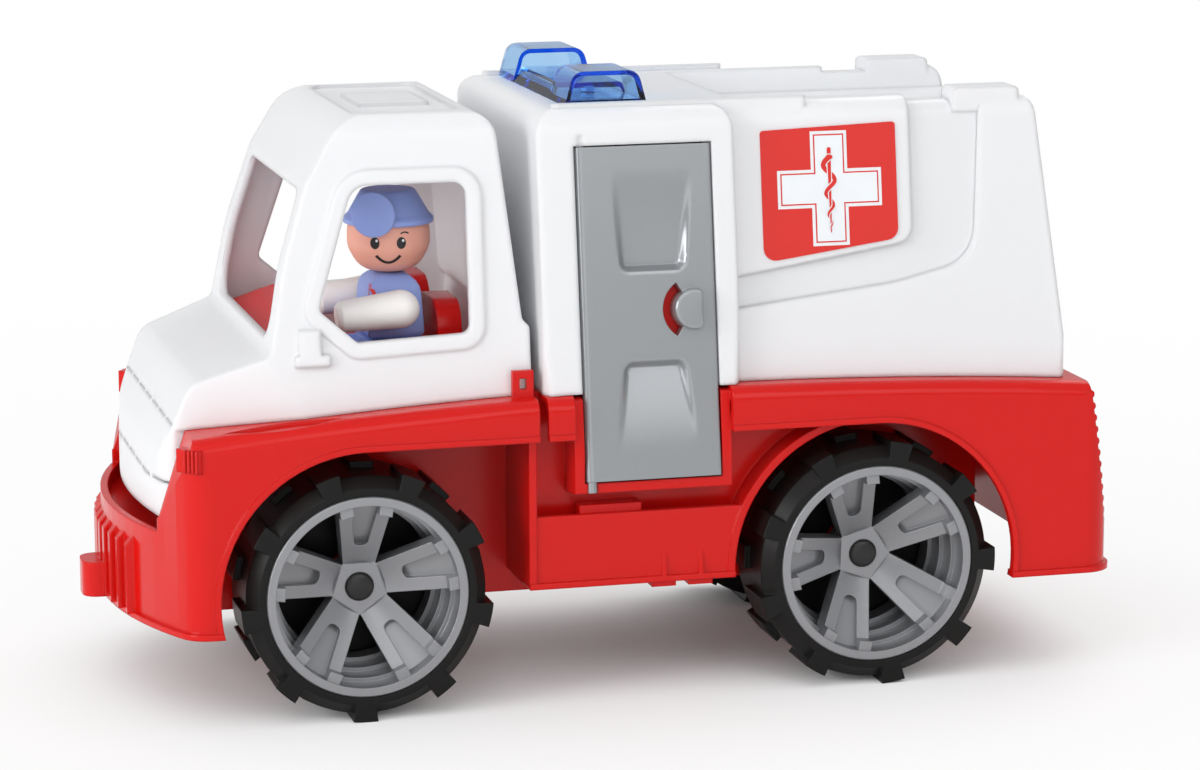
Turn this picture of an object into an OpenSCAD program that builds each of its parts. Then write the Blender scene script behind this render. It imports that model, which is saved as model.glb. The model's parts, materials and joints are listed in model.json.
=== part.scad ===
// Toy ambulance truck, snapped together from moulded parts.
// X runs from the nose to the tail, Y to the truck's right, Z up from the floor.
// The origin lies on the floor, halfway along and across the truck.

/* [Overall] */
// Distance between the two axles
wheelbase = 147.5; // [144:0.5:155]
// Front axle to the face of the bumper
front_overhang = 64.2; // [62:0.2:70]
// Tow tongue in front of the bumper
tongue_l = 7.2; // [4:0.2:9]
// Rear axle to the edge of the rear lip
rear_overhang = 74.8; // [72:0.2:84]
// Width over the fender lips
body_w = 128; // [126:0.5:134]
// Band between the wheel arches and the crown of the deck
band_h = 12.5; // [11:0.5:15]
// Radius of the slow arch of the deck along the truck
deck_r = 1500; // [1300:50:2200]
// Inward lean of the cab, the box and the doors, in degrees
lean = 8; // [6:0.5:9]

/* [Wheels] */
// Diameter of the tyre over its lugs
tyre_d = 71; // [69:0.5:73]
// Width of the tyre
tyre_w = 30; // [28:0.5:31]
// Depth of the tyre from its lugs to the rim
tyre_t = 7; // [6.5:0.1:8.5]
// Diameter of the axle rod
axle_d = 4; // [3:0.2:5]
// Diameter of the hub cap
cap_d = 8; // [7.5:0.1:9]
// Lugs on each side of a tyre
lug_count = 9; // [7:1:12]
// Double spokes in a rim
spoke_count = 5; // [5:1:6]
// Depth of the hub behind the face of the rim
hub_depth = 13.2; // [10:0.2:15]

/* [Chassis] */
// Wall of the chassis moulding
wall = 2.2; // [1.8:0.1:2.6]
// Lower edge of the bumper above the floor
skirt_z = 26.5; // [24:0.5:29]
// Lower edge of the rear fender above the floor
rear_skirt_z = 29; // [26:0.5:32]
// Top of the bumper above the floor
bumper_top_z = 54; // [51:0.5:56]
// Free room between a tyre and its arch
arch_gap = 5.5; // [4.5:0.1:6]
// Lower edge of the sill above the floor
sill_z = 33.5; // [31:0.5:36]
// Height of the sill plate
sill_h = 20.5; // [17:0.5:23]
// Vertical ribs on the bumper
bumper_ribs = 9; // [5:2:9]

/* [Cab] */
// Fender edge to the wall of the cab at the deck
cab_inset = 10.7; // [9.5:0.1:12]
// Height of the cab above the deck
cab_h = 77; // [73:0.5:81]
// Front axle to the back of the cab
cab_back = 48.8; // [46:0.2:51]
// Wall of the cab to the wall of the nose
nose_inset = 7.8; // [6.5:0.1:9.5]

/* [Box] */
// Gap between the cab and the box
split_gap = 2.6; // [2:0.1:4]
// Ledge of the deck behind the box
tail_ledge = 4.1; // [3:0.1:8]
// Fender edge to the face of the door bay at the deck
bay_inset = 4.7; // [4:0.1:5.5]
// Step from the door bay in to the rear box
bay_step = 4.3; // [3:0.1:5]
// Height of the box above the deck
box_h = 77.5; // [74:0.5:81]
// Post in front of the side door
front_post_w = 10.4; // [9.5:0.1:12]
// Post behind the side door
rear_post_w = 6.4; // [5.8:0.1:9]
// Free edge of the side door to the rear axle
door_axle_l = 45.9; // [45:0.1:48]
// Depth of the side door below the deck
door_sink = 25; // [23:0.5:26]
// Top of the side door below the edge of the roof
door_top_gap = 10.3; // [9:0.1:13]
// Thickness of the doors
door_t = 3.6; // [3:0.1:4]
// Height of the lamps on the roof
lamp_h = 9.6; // [8:0.2:12]

/* [Driver] */
// Diameter of the head
head_d = 23.4; // [21:0.2:24]
// Wall of the cab to the middle of the driver
driver_inset = 32.3; // [31.5:0.1:34]
// Height of the torso from seat to neck
torso_h = 27.4; // [26:0.2:29]

/* [Hidden] */
$fn = 64;

// Clearances and overruns
cut = 1;
fit_gap = 0.05;
seat_gap = 0.1;
run_gap = 0.4;
reach = 4 * body_w;
drum_facets = 1440;
arc_steps = 5;

// Colours
red = [0.80, 0.08, 0.09];
white = [0.95, 0.95, 0.95];
grey = [0.58, 0.60, 0.62];
silver = [0.66, 0.67, 0.69];
black = [0.08, 0.08, 0.09];
steel = [0.75, 0.76, 0.78];
blue = [0.10, 0.30, 0.80];
scrub_blue = [0.50, 0.56, 0.86];
skin_tone = [0.87, 0.62, 0.52];
cream = [0.95, 0.93, 0.89];

// Stations along the truck
total_l = tongue_l + front_overhang + wheelbase + rear_overhang;
bumper_x = tongue_l - total_l / 2;
front_axle_x = bumper_x + front_overhang;
rear_axle_x = front_axle_x + wheelbase;
lip_out = 1.2;
lip_t = 1.7;
tail_x = total_l / 2 - lip_out;
cab_back_x = front_axle_x + cab_back;
box_front_x = cab_back_x + split_gap;
door_x0 = box_front_x + front_post_w;
door_x1 = rear_axle_x - door_axle_l;
door_w = door_x1 - door_x0;
portal_rear_x = door_x1 + rear_post_w;
tail_in = 10;
box_rear_x = tail_x - tail_in - tail_ledge;
crown_x = (cab_back_x + rear_axle_x) / 2;

// Heights and half widths
axle_z = tyre_d / 2;
arch_r = tyre_d / 2 + arch_gap;
band_z = axle_z + arch_r;
deck_z = band_z + band_h;
cab_roof_z = deck_z + cab_h;
roof_z = deck_z + box_h;
cab_half = body_w / 2 - cab_inset;
nose_half = cab_half - nose_inset;
portal_half = body_w / 2 - bay_inset;
box_half = portal_half - bay_step;
skin_half = body_w / 2 - lip_out;
wheel_inset = 1.5;
wheel_half = body_w / 2 - wheel_inset;
spine_gap = 2;
spine_half = wheel_half - tyre_w - spine_gap;
recess_depth = 9.3;
recess_half = portal_half - recess_depth;
sill_half = portal_half - 2 * seat_gap - lip_out;
lean_tan = tan(lean);

// Wheel details
rim_d = tyre_d - 2 * tyre_t;
rim_in = 3.5;
rim_w = tyre_w - rim_in;
tyre_web_t = 2;
ring_w = 2.7;
spoke_t = 4;
web_drop = 2.2;
hub_r = 8.2;
prong_hub_w = 8.6;
prong_ring_w = 16.4;
slot_hub_w = 3.6;
slot_ring_w = 8.8;
slot_foot = 4.2;
slot_r = 1.6;
cap_seat = 1;
cap_t = 2.4;
cap_dome = 0.5;
dish_lip = 2;
dish_r = 5.8;
hub_rise = 1.3;
foot_share = 0.6;
ring_edge = 0.5;
barrel_step = 1.2;
barrel_count = 4;
lug_h = 1.8;
shoulder_drop = 5;
shoulder_in = 3.4;
lug_share = 0.34;
lug_foot_share = 0.75;
lug_over = 1;
tyre_turns = [22, 11.4];
rim_turns = [0, -16];

// Chassis details
boss_out = wheel_half - rim_w - run_gap;
tread_share = 0.45;
gusset_shares = [0.6, 0.87];
fender_r = 4;
bumper_plan_r = 130;
tail_plan_r = 700;
plan_corner_r = 8;
post_low_rise = 4;
post_back = 19;
post_foot = 9;
tail_top_drop = 3;
tongue_w = 13;
tongue_h = 10;
rib_w = 4;
rib_pitch = 7.4;
rib_out = 1.8;
rib_drop = 3.5;
tail_rib_r = 1.3;
tail_rib_count = 14;
boss_r = 6.5;
shelf_drop = 4;
frame_t = 2.8;
clip_l = 6;
clip_h = 8.6;
clip_t = 2;
signal_l = 8;
signal_h = 6.4;
signal_rib_w = 0.8;
signal_rib_count = 4;
signal_turn = 45;
signal_out = 0.3339;
eye_l = 33;
eye_w = 6;
eye_sink = 0.8;
eye_place_share = 0.67;
half_share = 0.5;
gusset_w = 1.5;
gusset_h = 9;
foot_l = 7;
foot_h = 1.6;

// Cab details
cab_wall = 2.2;
nose_plan_r = 200;
nose_back = 6.4;
nose_lift = 2.5;
nose_low_z = bumper_top_z + nose_lift;
nose_seat = 0.6;
hood_rise = 5.5;
hood_z = deck_z + hood_rise;
wind_reach = 24.2;
wind_base_x = front_axle_x - wind_reach;
wind_rise = 13;
wind_base_z = deck_z + wind_rise;
brow_reach = 12.6;
brow_x = front_axle_x - brow_reach;
brow_drop = 17.5;
brow_z = cab_roof_z - brow_drop;
roof_reach = 2.4;
nose_x = bumper_x + nose_back;
nose_mid_in = 3.3;
nose_mid_x = nose_x + nose_mid_in;
nose_mid_rise = 17.5;
nose_mid_z = nose_low_z + nose_mid_rise;
nose_r = 30;
hood_back = 11.8;
hood_x = nose_x + hood_back;
hood_r = 7;
pillar_edge_r = 3;
pillar_bulge = 1.6;
pillar_r = 80;
roof_edge_r = 7;
back_slope = 8;
back_step = 2;
back_step_z = 18;
flank_r = 40;
slot_h = 0.8;
slot_count = 7;
slot_pitch = 2 * nose_half / slot_count;
slot_bar = 2.2;
slot_l = slot_pitch - slot_bar;
// Rows of grille slots above the foot of the nose
slot_rises = [10.1, 26.2];
// Side window: front edge before the axle, sill above the screen foot, head below the roof
window_reach = 10.4;
window_rise = 2.6;
window_drop = 18.5;
window_l = 42.8;
window_h = cab_h - wind_rise - window_rise - window_drop;
// Corners of the side window: shares of its length and height, and their radii
window_shares = [[0, 0.22], [0.25, 0], [0.99, 0.03], [1, 1], [0.25, 1]];
window_radii = [2, 2, 2.5, 4, 6];
// Windscreen: cab wall to its lower and upper corners, and its edges
screen_foot_in = 10.3;
screen_head_in = 14.9;
screen_rise = 3;
screen_drop = 2.6;
screen_foot_r = 7;
screen_head_r = 4;
// Sunk roof panel: cab wall to its front and rear corners, and its ends
roof_front_in = 18.3;
roof_rear_in = 20.3;
roof_front_gap = 16;
roof_rear_gap = 7;
roof_panel_r = 4;
pad_back = 9;
pad_x = front_axle_x + pad_back;
mirror_reach = 3.6;
mirror_l = 6;
mirror_h = 7;
mirror_foot_l = 8.5;
mirror_foot_h = 3;
frame_w = 4.2;
frame_proud = 0.7;
roof_sink = 1;
pad_l = 20;
pad_w = 26;

// Box details
box_wall = 2.4;
box_tail_in = 8;
wall_h = box_h / cos(lean);
door_low = -door_sink;
door_h = wall_h + door_sink - door_top_gap;
jamb_t = 3;
stop_w = 1.6;
pin_r = 1.4;
pin_l = 2.4;
box_edge_r = 6;
valley_start = 4;
valley_depth = 7;
valley_top_in = 19;
valley_low_in = 21.5;
rail_w = 3.2;
rail_past = 17.4;
rail_l = portal_rear_x - box_front_x + rail_past;
rail_in = 0.6;
rail_r = 1.5;
bump_in = 4;
rail_h = 1.2;
bump_l = 20;
bump_w = 10;
bump_h = 2;
swoosh_sink = 1.6;
// Swoosh: heights above the deck of its start, bend and end, places behind the door bay and radii
swoosh_start_h = 20;
swoosh_bend = 48.4;
swoosh_bend_h = 25.4;
swoosh_bend_r = 60;
swoosh_end = 71.9;
swoosh_end_h = 31;
swoosh_end_r = 12;
swoosh_top = 86.4;
// Raised pad under the label: its end behind the door bay, its lower edge above the deck
pad_end = 53.4;
pad_low_h = 29;
pad_rise = 8;
pad_r = 5;
// Label on the pad: behind the door bay, and its corners below the top of the wall
label_gap = 9;
label_l = 40;
label_low_drop = 45.3;
label_rise = 5.4;
label_top_drop = 6.8;
label_tilt = 1.4;
label_r = 3.5;
label_top_r = 1;
label_t = 0.4;
lamp_l = 23.8;
lamp_w = 18.5;
lamp_in = 15;
lamp_span = 2 * (box_half - lamp_in);
lamp_back = 22.4;
lamp_wall = 1.4;
lamp_slope = 2.6;
lamp_round_share = 0.4;
bridge_h = 4.4;
peg_r = 2;
peg_l = 4;
hatch_side = 19;
hatch_w = 2 * (box_half - hatch_side);
hatch_rise = 4;
hatch_top_gap = 11.9;
hatch_h = norm([box_tail_in, box_h]) - hatch_rise - hatch_top_gap;
bench_l = 88;
bench_w = 38;
bench_h = 17;
bench_gap = 26.6;
bench_x = box_front_x + bench_gap;
bench_r = 3;
bench_wall = 3;
pillow_l = 20;
pillow_h = 6;
hinge_x = door_x0 + run_gap + door_t / 2;
hatch_axis = hatch_rise + hatch_h - run_gap - door_t / 2;
lamp_x = box_front_x + lamp_back;
grip_r = 5.6;
grip_out = 5;
grip_side = 4.2;
grip_shares = [0.8, 0.5];
slot_w = 2.6;
door_edge_r = 1;
panel_sink = 1.2;
roll_out = 0.5;
roll_w = 1.4;
roll_share = 0.72;
bulge_out = 2.2;
// Upper and lower panel corners: shares of the door's width and height
upper_shares = [[0.28, 0.625], [0.76, 0.625], [0.87, 0.9], [0.23, 0.9]];
lower_shares = [[0.19, 0.12], [0.83, 0.12], [0.75, 0.345], [0.26, 0.345]];
panel_r = 2;
bulge_r = 1;
bulge_top_r = 3;
// Rear hatch panel corners: shares of the half width and of the height
hatch_low_shares = [[0.64, 0.1], [0.52, 0.42]];
hatch_high_shares = [[0.54, 0.52], [0.72, 0.86]];
hatch_panel_r = 3;

// Driver details
driver_back = 33.5;
driver_x = cab_back_x - driver_back;
driver_y = driver_inset - cab_half;
seat_rise = 3;
seat_z = deck_z + seat_rise;
neck_z = seat_z + torso_h;
shoulder_below = 8.4;
shoulder_z = neck_z - shoulder_below;
torso_w = 19;
torso_d = 16.5;
chest_r = 5.5;
arm_r = 5.4;
hand_r = 4.4;
arm_l = 17;
arm_droop = 5;
arm_gap = 0.35;
leg_r = 4.4;
leg_l = 27;
hip_h = 9;
waist_r = 2.4;
head_turn = 78;
neck_r = 3;
neck_h = 4;
chin_share = 0.68;
cheek_r = 7.2;
cheek_share = 0.6;
brow_share = 1.17;
crown_share = 0.6;
crown_h = 19.4;
brim_z = head_d / 2 * brow_share;
cap_side_t = 0.6;
cap_top_r = head_d / 2 * crown_share + cap_side_t;
mirror_rise = 17.6;
mirror_turn = 17;
mirror_pin_r = 1.2;
mirror_pin_l = 2.4;
brim_out = 1.1;
cap_brim_r = head_d / 2 + brim_out;
cap_h = 9.4;
brim_t = 1.4;
mirror_d = 12.8;
mirror_t = 1.5;

// Seats and dashboard
seat_front = 12;
seat_x0 = driver_x - seat_front;
seat_rear = 18;
seat_x1 = driver_x + seat_rear;
back_t = 7;
back_w = 27;
back_h = 22;
back_r = 8;
dash_front = 3.4;
dash_gap = 1;
dash_x0 = wind_base_x + dash_front;
dash_x1 = driver_x - arm_l - lip_out - 2 * dash_gap;
knee_x = driver_x - leg_l - leg_r - dash_gap;
knee_z = seat_z + 2 * leg_r + dash_gap;
dash_rise = 5;
dash_in = 11;
dash_half = cab_half - dash_in;
tub_depth = 12;
tub_floor = 1;
tub_r = 2;

// Rounded outlines: each corner is [x, y, radius]
function unit(v) = v / norm(v);
function turn_of(a, b) = a[0] * b[1] - a[1] * b[0];
function corner_arc(p, c, q, r) =
    let (a = unit(p - c), b = unit(q - c), half = acos(max(-1, min(1, a * b))) / 2)
    let (centre = c + unit(a + b) * r / sin(half), from = c + a * r / tan(half) - centre)
    let (start = atan2(from[1], from[0]), way = turn_of(a, b) < 0 ? 1 : -1)
    [for (i = [0:arc_steps])
        let (angle = start + way * (180 - 2 * half) * i / arc_steps)
        centre + r * [cos(angle), sin(angle)]];
function flat(p) = [p[0], p[1]];
function rounded(points) =
    let (n = len(points))
    [for (i = [0:n - 1])
        let (p = points[(i + n - 1) % n], c = points[i], q = points[(i + 1) % n])
        let (arc = c[2] > 0 ? corner_arc(flat(p), flat(c), flat(q), c[2]) : [flat(c)])
        for (point = arc) point];
function mirrored(points) = concat(points, [for (i = [len(points) - 1:-1:0])
    [-points[i][0], points[i][1], points[i][2]]]);

// Extrusions of outlines drawn in the side view, the front view and the plan
module across(y0, y1) {
    translate([0, y1, 0]) rotate([90, 0, 0]) linear_extrude(height = y1 - y0) children();
}
module along(x0, x1) {
    translate([x0, 0, 0]) rotate([90, 0, 90]) linear_extrude(height = x1 - x0) children();
}
module upward(z0, z1) {
    translate([0, 0, z0]) linear_extrude(height = z1 - z0) children();
}
module block(low, high) {
    translate(low) cube(high - low);
}
module both_sides() {
    children();
    mirror([0, 1, 0]) children();
}
// Places children on a leaning left wall: local z climbs the wall and local -y faces out
module on_wall(half_width) {
    translate([0, -half_width, deck_z]) rotate([-lean, 0, 0]) children();
}

// Everything below the arched deck
module drum(grow) {
    translate([crown_x, 0, deck_z - deck_r]) rotate([90, 0, 0])
        cylinder(r = deck_r + grow, h = reach, center = true, $fn = drum_facets);
}
// Arched block with rounded upper edges, the envelope of the fenders and the deck
module arched_block(inset) {
    depth = deck_z + deck_z;
    half = skin_half - inset;
    top = deck_r - inset;
    sweep = 2 * asin(total_l / deck_r);
    translate([crown_x, 0, deck_z - deck_r]) rotate([90, 0, 0]) rotate([0, 0, 90 - sweep / 2])
        rotate_extrude(angle = sweep, $fn = drum_facets)
            polygon(rounded([[top - depth, -half, 0], [top, -half, fender_r],
                [top, half, fender_r], [top - depth, half, 0]]));
}
module chassis_plan(grow) {
    offset(delta = grow) offset(r = plan_corner_r) offset(delta = -plan_corner_r) intersection() {
        translate([bumper_x, -skin_half]) square([tail_x - bumper_x, 2 * skin_half]);
        union() {
            translate([bumper_x + bumper_plan_r, 0]) circle(r = bumper_plan_r, $fn = 2 * $fn);
            translate([front_axle_x, -body_w]) square([reach, 2 * body_w]);
        }
        translate([tail_x - tail_plan_r, 0]) circle(r = tail_plan_r, $fn = 4 * $fn);
    }
}
function chassis_side(inset, front_low, rear_low) = [
    [bumper_x + inset, front_low],
    [bumper_x + inset, bumper_top_z],
    [bumper_x + post_foot + inset, bumper_top_z + post_low_rise],
    [bumper_x + post_back + inset, deck_z],
    [tail_x - tail_in - inset, deck_z],
    [tail_x - tail_in - inset, deck_z - tail_top_drop],
    [tail_x - lip_out - inset, rear_low],
    [rear_axle_x, rear_low],
    [front_axle_x, front_low]];
module chassis_block(inset, front_low, rear_low) {
    intersection() {
        across(-body_w, body_w) polygon(chassis_side(inset, front_low, rear_low));
        upward(-deck_z, 2 * deck_z) chassis_plan(-inset);
        arched_block(inset);
    }
}
module wheel_room() {
    for (x = [front_axle_x, rear_axle_x])
        translate([x, 0, axle_z]) rotate([90, 0, 0]) cylinder(r = arch_r, h = reach, center = true);
}
// The outer moulding: bumper, fenders, band and deck
module fender_skin() {
    difference() {
        chassis_block(0, skirt_z, rear_skirt_z);
        chassis_block(wall, -deck_z, -deck_z);
        wheel_room();
        block([front_axle_x, -body_w, 0], [rear_axle_x, body_w, band_z]);
        block([-total_l, -nose_half - nose_seat, bumper_top_z],
            [wind_base_x, nose_half + nose_seat, 2 * deck_z]);
        both_sides() {
            block([cab_back_x, -body_w, 0], [box_front_x, -recess_half, 2 * deck_z]);
            block([door_x0 - frame_t, -body_w, 0], [door_x1 + frame_t, -recess_half, 2 * deck_z]);
            eye_recess();
        }
    }
}
// Shallow lens on the fender top beside the hood
module eye_recess() {
    lens_r = (eye_l * eye_l / eye_w + eye_w) / 4;
    difference() {
        translate([front_axle_x - eye_l * eye_place_share, -(cab_half + skin_half) / 2, 0])
            linear_extrude(height = 2 * deck_z) intersection_for(side = [-1, 1])
                translate([0, side * (lens_r - eye_w / 2)]) circle(r = lens_r, $fn = 4 * $fn);
        drum(-eye_sink);
    }
}
module edge_lips() {
    difference() {
        union() {
            upward(skirt_z, skirt_z + lip_t) intersection() {
                difference() {
                    chassis_plan(lip_out);
                    chassis_plan(-wall);
                }
                translate([-total_l, -body_w]) square([total_l + front_axle_x, 2 * body_w]);
            }
            upward(rear_skirt_z, rear_skirt_z + lip_t) intersection() {
                difference() {
                    chassis_plan(lip_out);
                    chassis_plan(-wall - lip_out);
                }
                translate([rear_axle_x, -body_w]) square([total_l, 2 * body_w]);
            }
            both_sides() arch_lips();
        }
        wheel_room();
    }
}
// Rolled edge round the arches and along the band
module arch_lips() {
    across(-skin_half - lip_out / 2, -skin_half + wall) {
        for (end = [[front_axle_x, -1, skirt_z], [rear_axle_x, 1, rear_skirt_z]])
            intersection() {
                translate([end[0], axle_z]) circle(r = arch_r + lip_t);
                translate([end[0] + (end[1] - 1) * reach / 2, end[2]]) square([reach, reach]);
            }
        for (run = [[front_axle_x, cab_back_x], [box_front_x, door_x0 - frame_t],
                [door_x1 + frame_t, rear_axle_x]])
            translate([run[0], band_z]) square([run[1] - run[0], lip_t]);
    }
}
module spine() {
    intersection() {
        union() {
            both_sides() block([front_axle_x - arch_r, -spine_half, skirt_z],
                [rear_axle_x + arch_r, -spine_half + wall, 2 * deck_z]);
            for (x = [front_axle_x - arch_r, front_axle_x + arch_r, crown_x, rear_axle_x + arch_r - wall])
                block([x, -spine_half, sill_z], [x + wall, spine_half, 2 * deck_z]);
        }
        arched_block(wall / 2);
        difference() {
            across(-body_w, body_w) polygon(chassis_side(wall, -deck_z, -deck_z));
            block([-total_l, -body_w, bumper_top_z], [wind_base_x, body_w, 2 * deck_z]);
        }
    }
}
module axle_bosses() {
    for (x = [front_axle_x, rear_axle_x])
        both_sides() translate([x, -boss_out, axle_z]) rotate([-90, 0, 0])
            cylinder(r = boss_r, h = boss_out - spine_half + 3 * wall);
}
// Side view of the bay between the wheels, with the rear arch taken out
module bay_outline(low, high) {
    difference() {
        translate([cab_back_x - wall, low]) square([rear_axle_x - cab_back_x, high - low]);
        translate([rear_axle_x, axle_z]) circle(r = arch_r);
    }
}
module sill_bay() {
    intersection() {
        across(-recess_half, -recess_half + wall) bay_outline(sill_z, 2 * deck_z);
        arched_block(wall / 2);
    }
    across(-sill_half, -sill_half + wall) bay_outline(sill_z, sill_z + sill_h);
    across(-sill_half - lip_out, -recess_half + wall) bay_outline(sill_z, sill_z + lip_t);
    across(-sill_half - lip_out / 2, -spine_half) difference() {
        bay_outline(sill_z, band_z + wall);
        offset(delta = -wall) bay_outline(sill_z - reach, band_z + reach);
    }
    tread_l = door_w * tread_share;
    block([door_x0, -sill_half + wall, sill_z + sill_h - wall],
        [door_x0 + tread_l, -recess_half, sill_z + sill_h + wall]);
    for (share = gusset_shares)
        translate([door_x0 + door_w * share, 0, sill_z]) sill_gusset();
}
module sill_gusset() {
    translate([-gusset_w / 2, 0, 0]) along(0, gusset_w)
        polygon([[-sill_half, 0], [-sill_half - lip_out, 0], [-sill_half, gusset_h]]);
    block([-foot_l / 2, -sill_half, -foot_h], [foot_l / 2, -recess_half, 0]);
}
// Channel round the lower half of a side door
module door_frame() {
    intersection() {
        on_wall(portal_half) across(0, recess_depth + frame_t) difference() {
            translate([door_x0 - frame_t, door_low - frame_t - run_gap])
                square([door_w + 2 * frame_t, reach]);
            translate([door_x0, door_low - run_gap]) square([door_w, reach]);
        }
        arched_block(wall / 2);
        block([-total_l, -body_w, 0], [total_l, -recess_half + wall, 2 * deck_z]);
    }
}
// Front of the bumper's curve at a distance y from the middle
function plan_front(y) = bumper_x + bumper_plan_r - sqrt(bumper_plan_r * bumper_plan_r - y * y);
module bumper_details() {
    // Ribs on the face of the bumper
    for (i = [0:bumper_ribs - 1]) {
        y = (i - (bumper_ribs - 1) / 2) * rib_pitch;
        face_x = plan_front(y);
        across(y - rib_w / 2, y + rib_w / 2) polygon([[face_x + wall, skirt_z + lip_t / 2],
            [face_x - rib_out, skirt_z + lip_t / 2],
            [face_x - rib_out, bumper_top_z - 2 * rib_drop], [face_x + wall / 2, bumper_top_z - rib_drop]]);
    }
    // Tow tongue with a rounded end
    upward(skirt_z, skirt_z + tongue_h) polygon(rounded([[bumper_x + wall, -tongue_w / 2, 0],
        [bumper_x + wall, tongue_w / 2, 0], [bumper_x - tongue_l, tongue_w / 2, tongue_w / 3],
        [bumper_x - tongue_l, -tongue_w / 2, tongue_w / 3]]));
    // Shelf under the nose and the inner walls of the posts
    intersection() {
        chassis_block(wall / 2, skirt_z, skirt_z);
        difference() {
            union() {
                block([-total_l, -body_w, bumper_top_z - shelf_drop - wall],
                    [front_axle_x - arch_r, body_w, bumper_top_z - shelf_drop]);
                both_sides() block([-total_l, -nose_half - nose_seat - wall, bumper_top_z - shelf_drop],
                    [wind_base_x, -nose_half - nose_seat, 2 * deck_z]);
            }
            wheel_room();
        }
    }
    both_sides() turn_signal();
}
// Small ribbed lamp block on the corner of the fender
module turn_signal() {
    y = -(nose_half + skin_half) / 2 - signal_h / 2;
    x = plan_front(y) - signal_out;
    pitch = signal_l / (signal_rib_count + 2);
    translate([x, y, deck_z - 2 * signal_h]) rotate([0, 0, -signal_turn]) {
        block([0, -lip_out / 2, -signal_h / 2], [signal_l, wall, signal_h / 2]);
        for (i = [2:signal_rib_count + 1])
            block([pitch * i, -lip_out, -signal_h / 2], [pitch * i + signal_rib_w, wall, signal_h / 2]);
    }
}
// Snap tongues that hold the back of the cab
module cab_clip() {
    y = -cab_half - 2 * seat_gap;
    difference() {
        block([cab_back_x - clip_l, y - clip_t, deck_z - 2 * wall], [cab_back_x, y, deck_z + clip_h - wall]);
        block([cab_back_x - clip_l * 2 / 3, y - clip_t - cut, deck_z + wall / 2],
            [cab_back_x - clip_l / 3, y + cut, deck_z + clip_h - 2 * wall]);
    }
}
module tail_ribs() {
    foot = rear_skirt_z + 3 * lip_t;
    head = deck_z - 2 * tail_top_drop;
    run = (head - foot) / tail_rib_count;
    intersection() {
        for (i = [0:tail_rib_count - 1]) {
            z = foot + run * (i + half_share);
            rise_share = (z - rear_skirt_z) / (deck_z - tail_top_drop - rear_skirt_z);
            x = tail_x - lip_out - (tail_in - lip_out) * rise_share;
            translate([x - tail_rib_r / 2, 0, z]) rotate([90, 0, 0])
                cylinder(r = tail_rib_r, h = 2 * skin_half, center = true, $fn = $fn / 2);
        }
        upward(0, deck_z) chassis_plan(0);
    }
}
module chassis() {
    color(red) difference() {
        union() {
            fender_skin();
            edge_lips();
            spine();
            axle_bosses();
            both_sides() {
                sill_bay();
                door_frame();
                cab_clip();
            }
            bumper_details();
            tail_ribs();
        }
        for (x = [front_axle_x, rear_axle_x])
            translate([x, 0, axle_z]) rotate([90, 0, 0])
                cylinder(r = axle_d / 2 + fit_gap, h = reach, center = true);
        both_sides() on_wall(portal_half) translate([hinge_x, door_t / 2, 0])
            translate([0, 0, door_low - run_gap - frame_t - cut])
                cylinder(r = pin_r + fit_gap, h = frame_t + 2 * cut);
    }
}

// Cab envelope, from its side, front and plan outlines
function cab_side() = [
    [cab_back_x, nose_low_z, 0],
    [cab_back_x, deck_z + back_step_z, back_step / 2],
    [cab_back_x - back_step, deck_z + back_step_z + back_step, back_step],
    [cab_back_x - back_slope, cab_roof_z, roof_edge_r],
    [front_axle_x - roof_reach, cab_roof_z, 2 * roof_edge_r],
    [brow_x, brow_z, pillar_edge_r],
    [(brow_x + wind_base_x) / 2 - pillar_bulge, (brow_z + wind_base_z) / 2, pillar_r],
    [wind_base_x, wind_base_z, pillar_edge_r],
    [hood_x, hood_z, hood_r],
    [nose_mid_x, nose_mid_z, nose_r],
    [nose_x, nose_low_z, 0]];
function cab_front() = mirrored([
    [cab_half + (deck_z - nose_low_z) * lean_tan, nose_low_z, 0],
    [cab_half + (deck_z - cab_roof_z) * lean_tan, cab_roof_z, roof_edge_r]]);
module cab_plan(grow) {
    wide = cab_half + lip_out;
    offset(delta = grow) offset(r = plan_corner_r) offset(delta = -plan_corner_r) intersection() {
        polygon(rounded([[cab_back_x + plan_corner_r, -wide, 0], [cab_back_x + plan_corner_r, wide, 0],
            [brow_x, wide, flank_r], [nose_x, nose_half - lip_out, 0],
            [nose_x, lip_out - nose_half, 0], [brow_x, -wide, flank_r]]));
        translate([nose_x + nose_plan_r, 0]) circle(r = nose_plan_r, $fn = 4 * $fn);
    }
}
module cab_envelope(grow) {
    intersection() {
        across(-body_w, body_w) offset(delta = grow) polygon(rounded(cab_side()));
        along(-total_l, total_l) offset(delta = grow) polygon(rounded(cab_front()));
        upward(0, 2 * cab_roof_z) cab_plan(grow);
    }
}
function side_window() = [for (i = [0:len(window_shares) - 1])
    [front_axle_x - window_reach + window_l * window_shares[i][0],
        wind_base_z + window_rise + window_h * window_shares[i][1], window_radii[i]]];
function windscreen() = mirrored([
    [cab_half - screen_foot_in, wind_base_z + screen_rise, screen_foot_r],
    [cab_half - screen_head_in, brow_z - screen_drop, screen_head_r]]);
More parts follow.
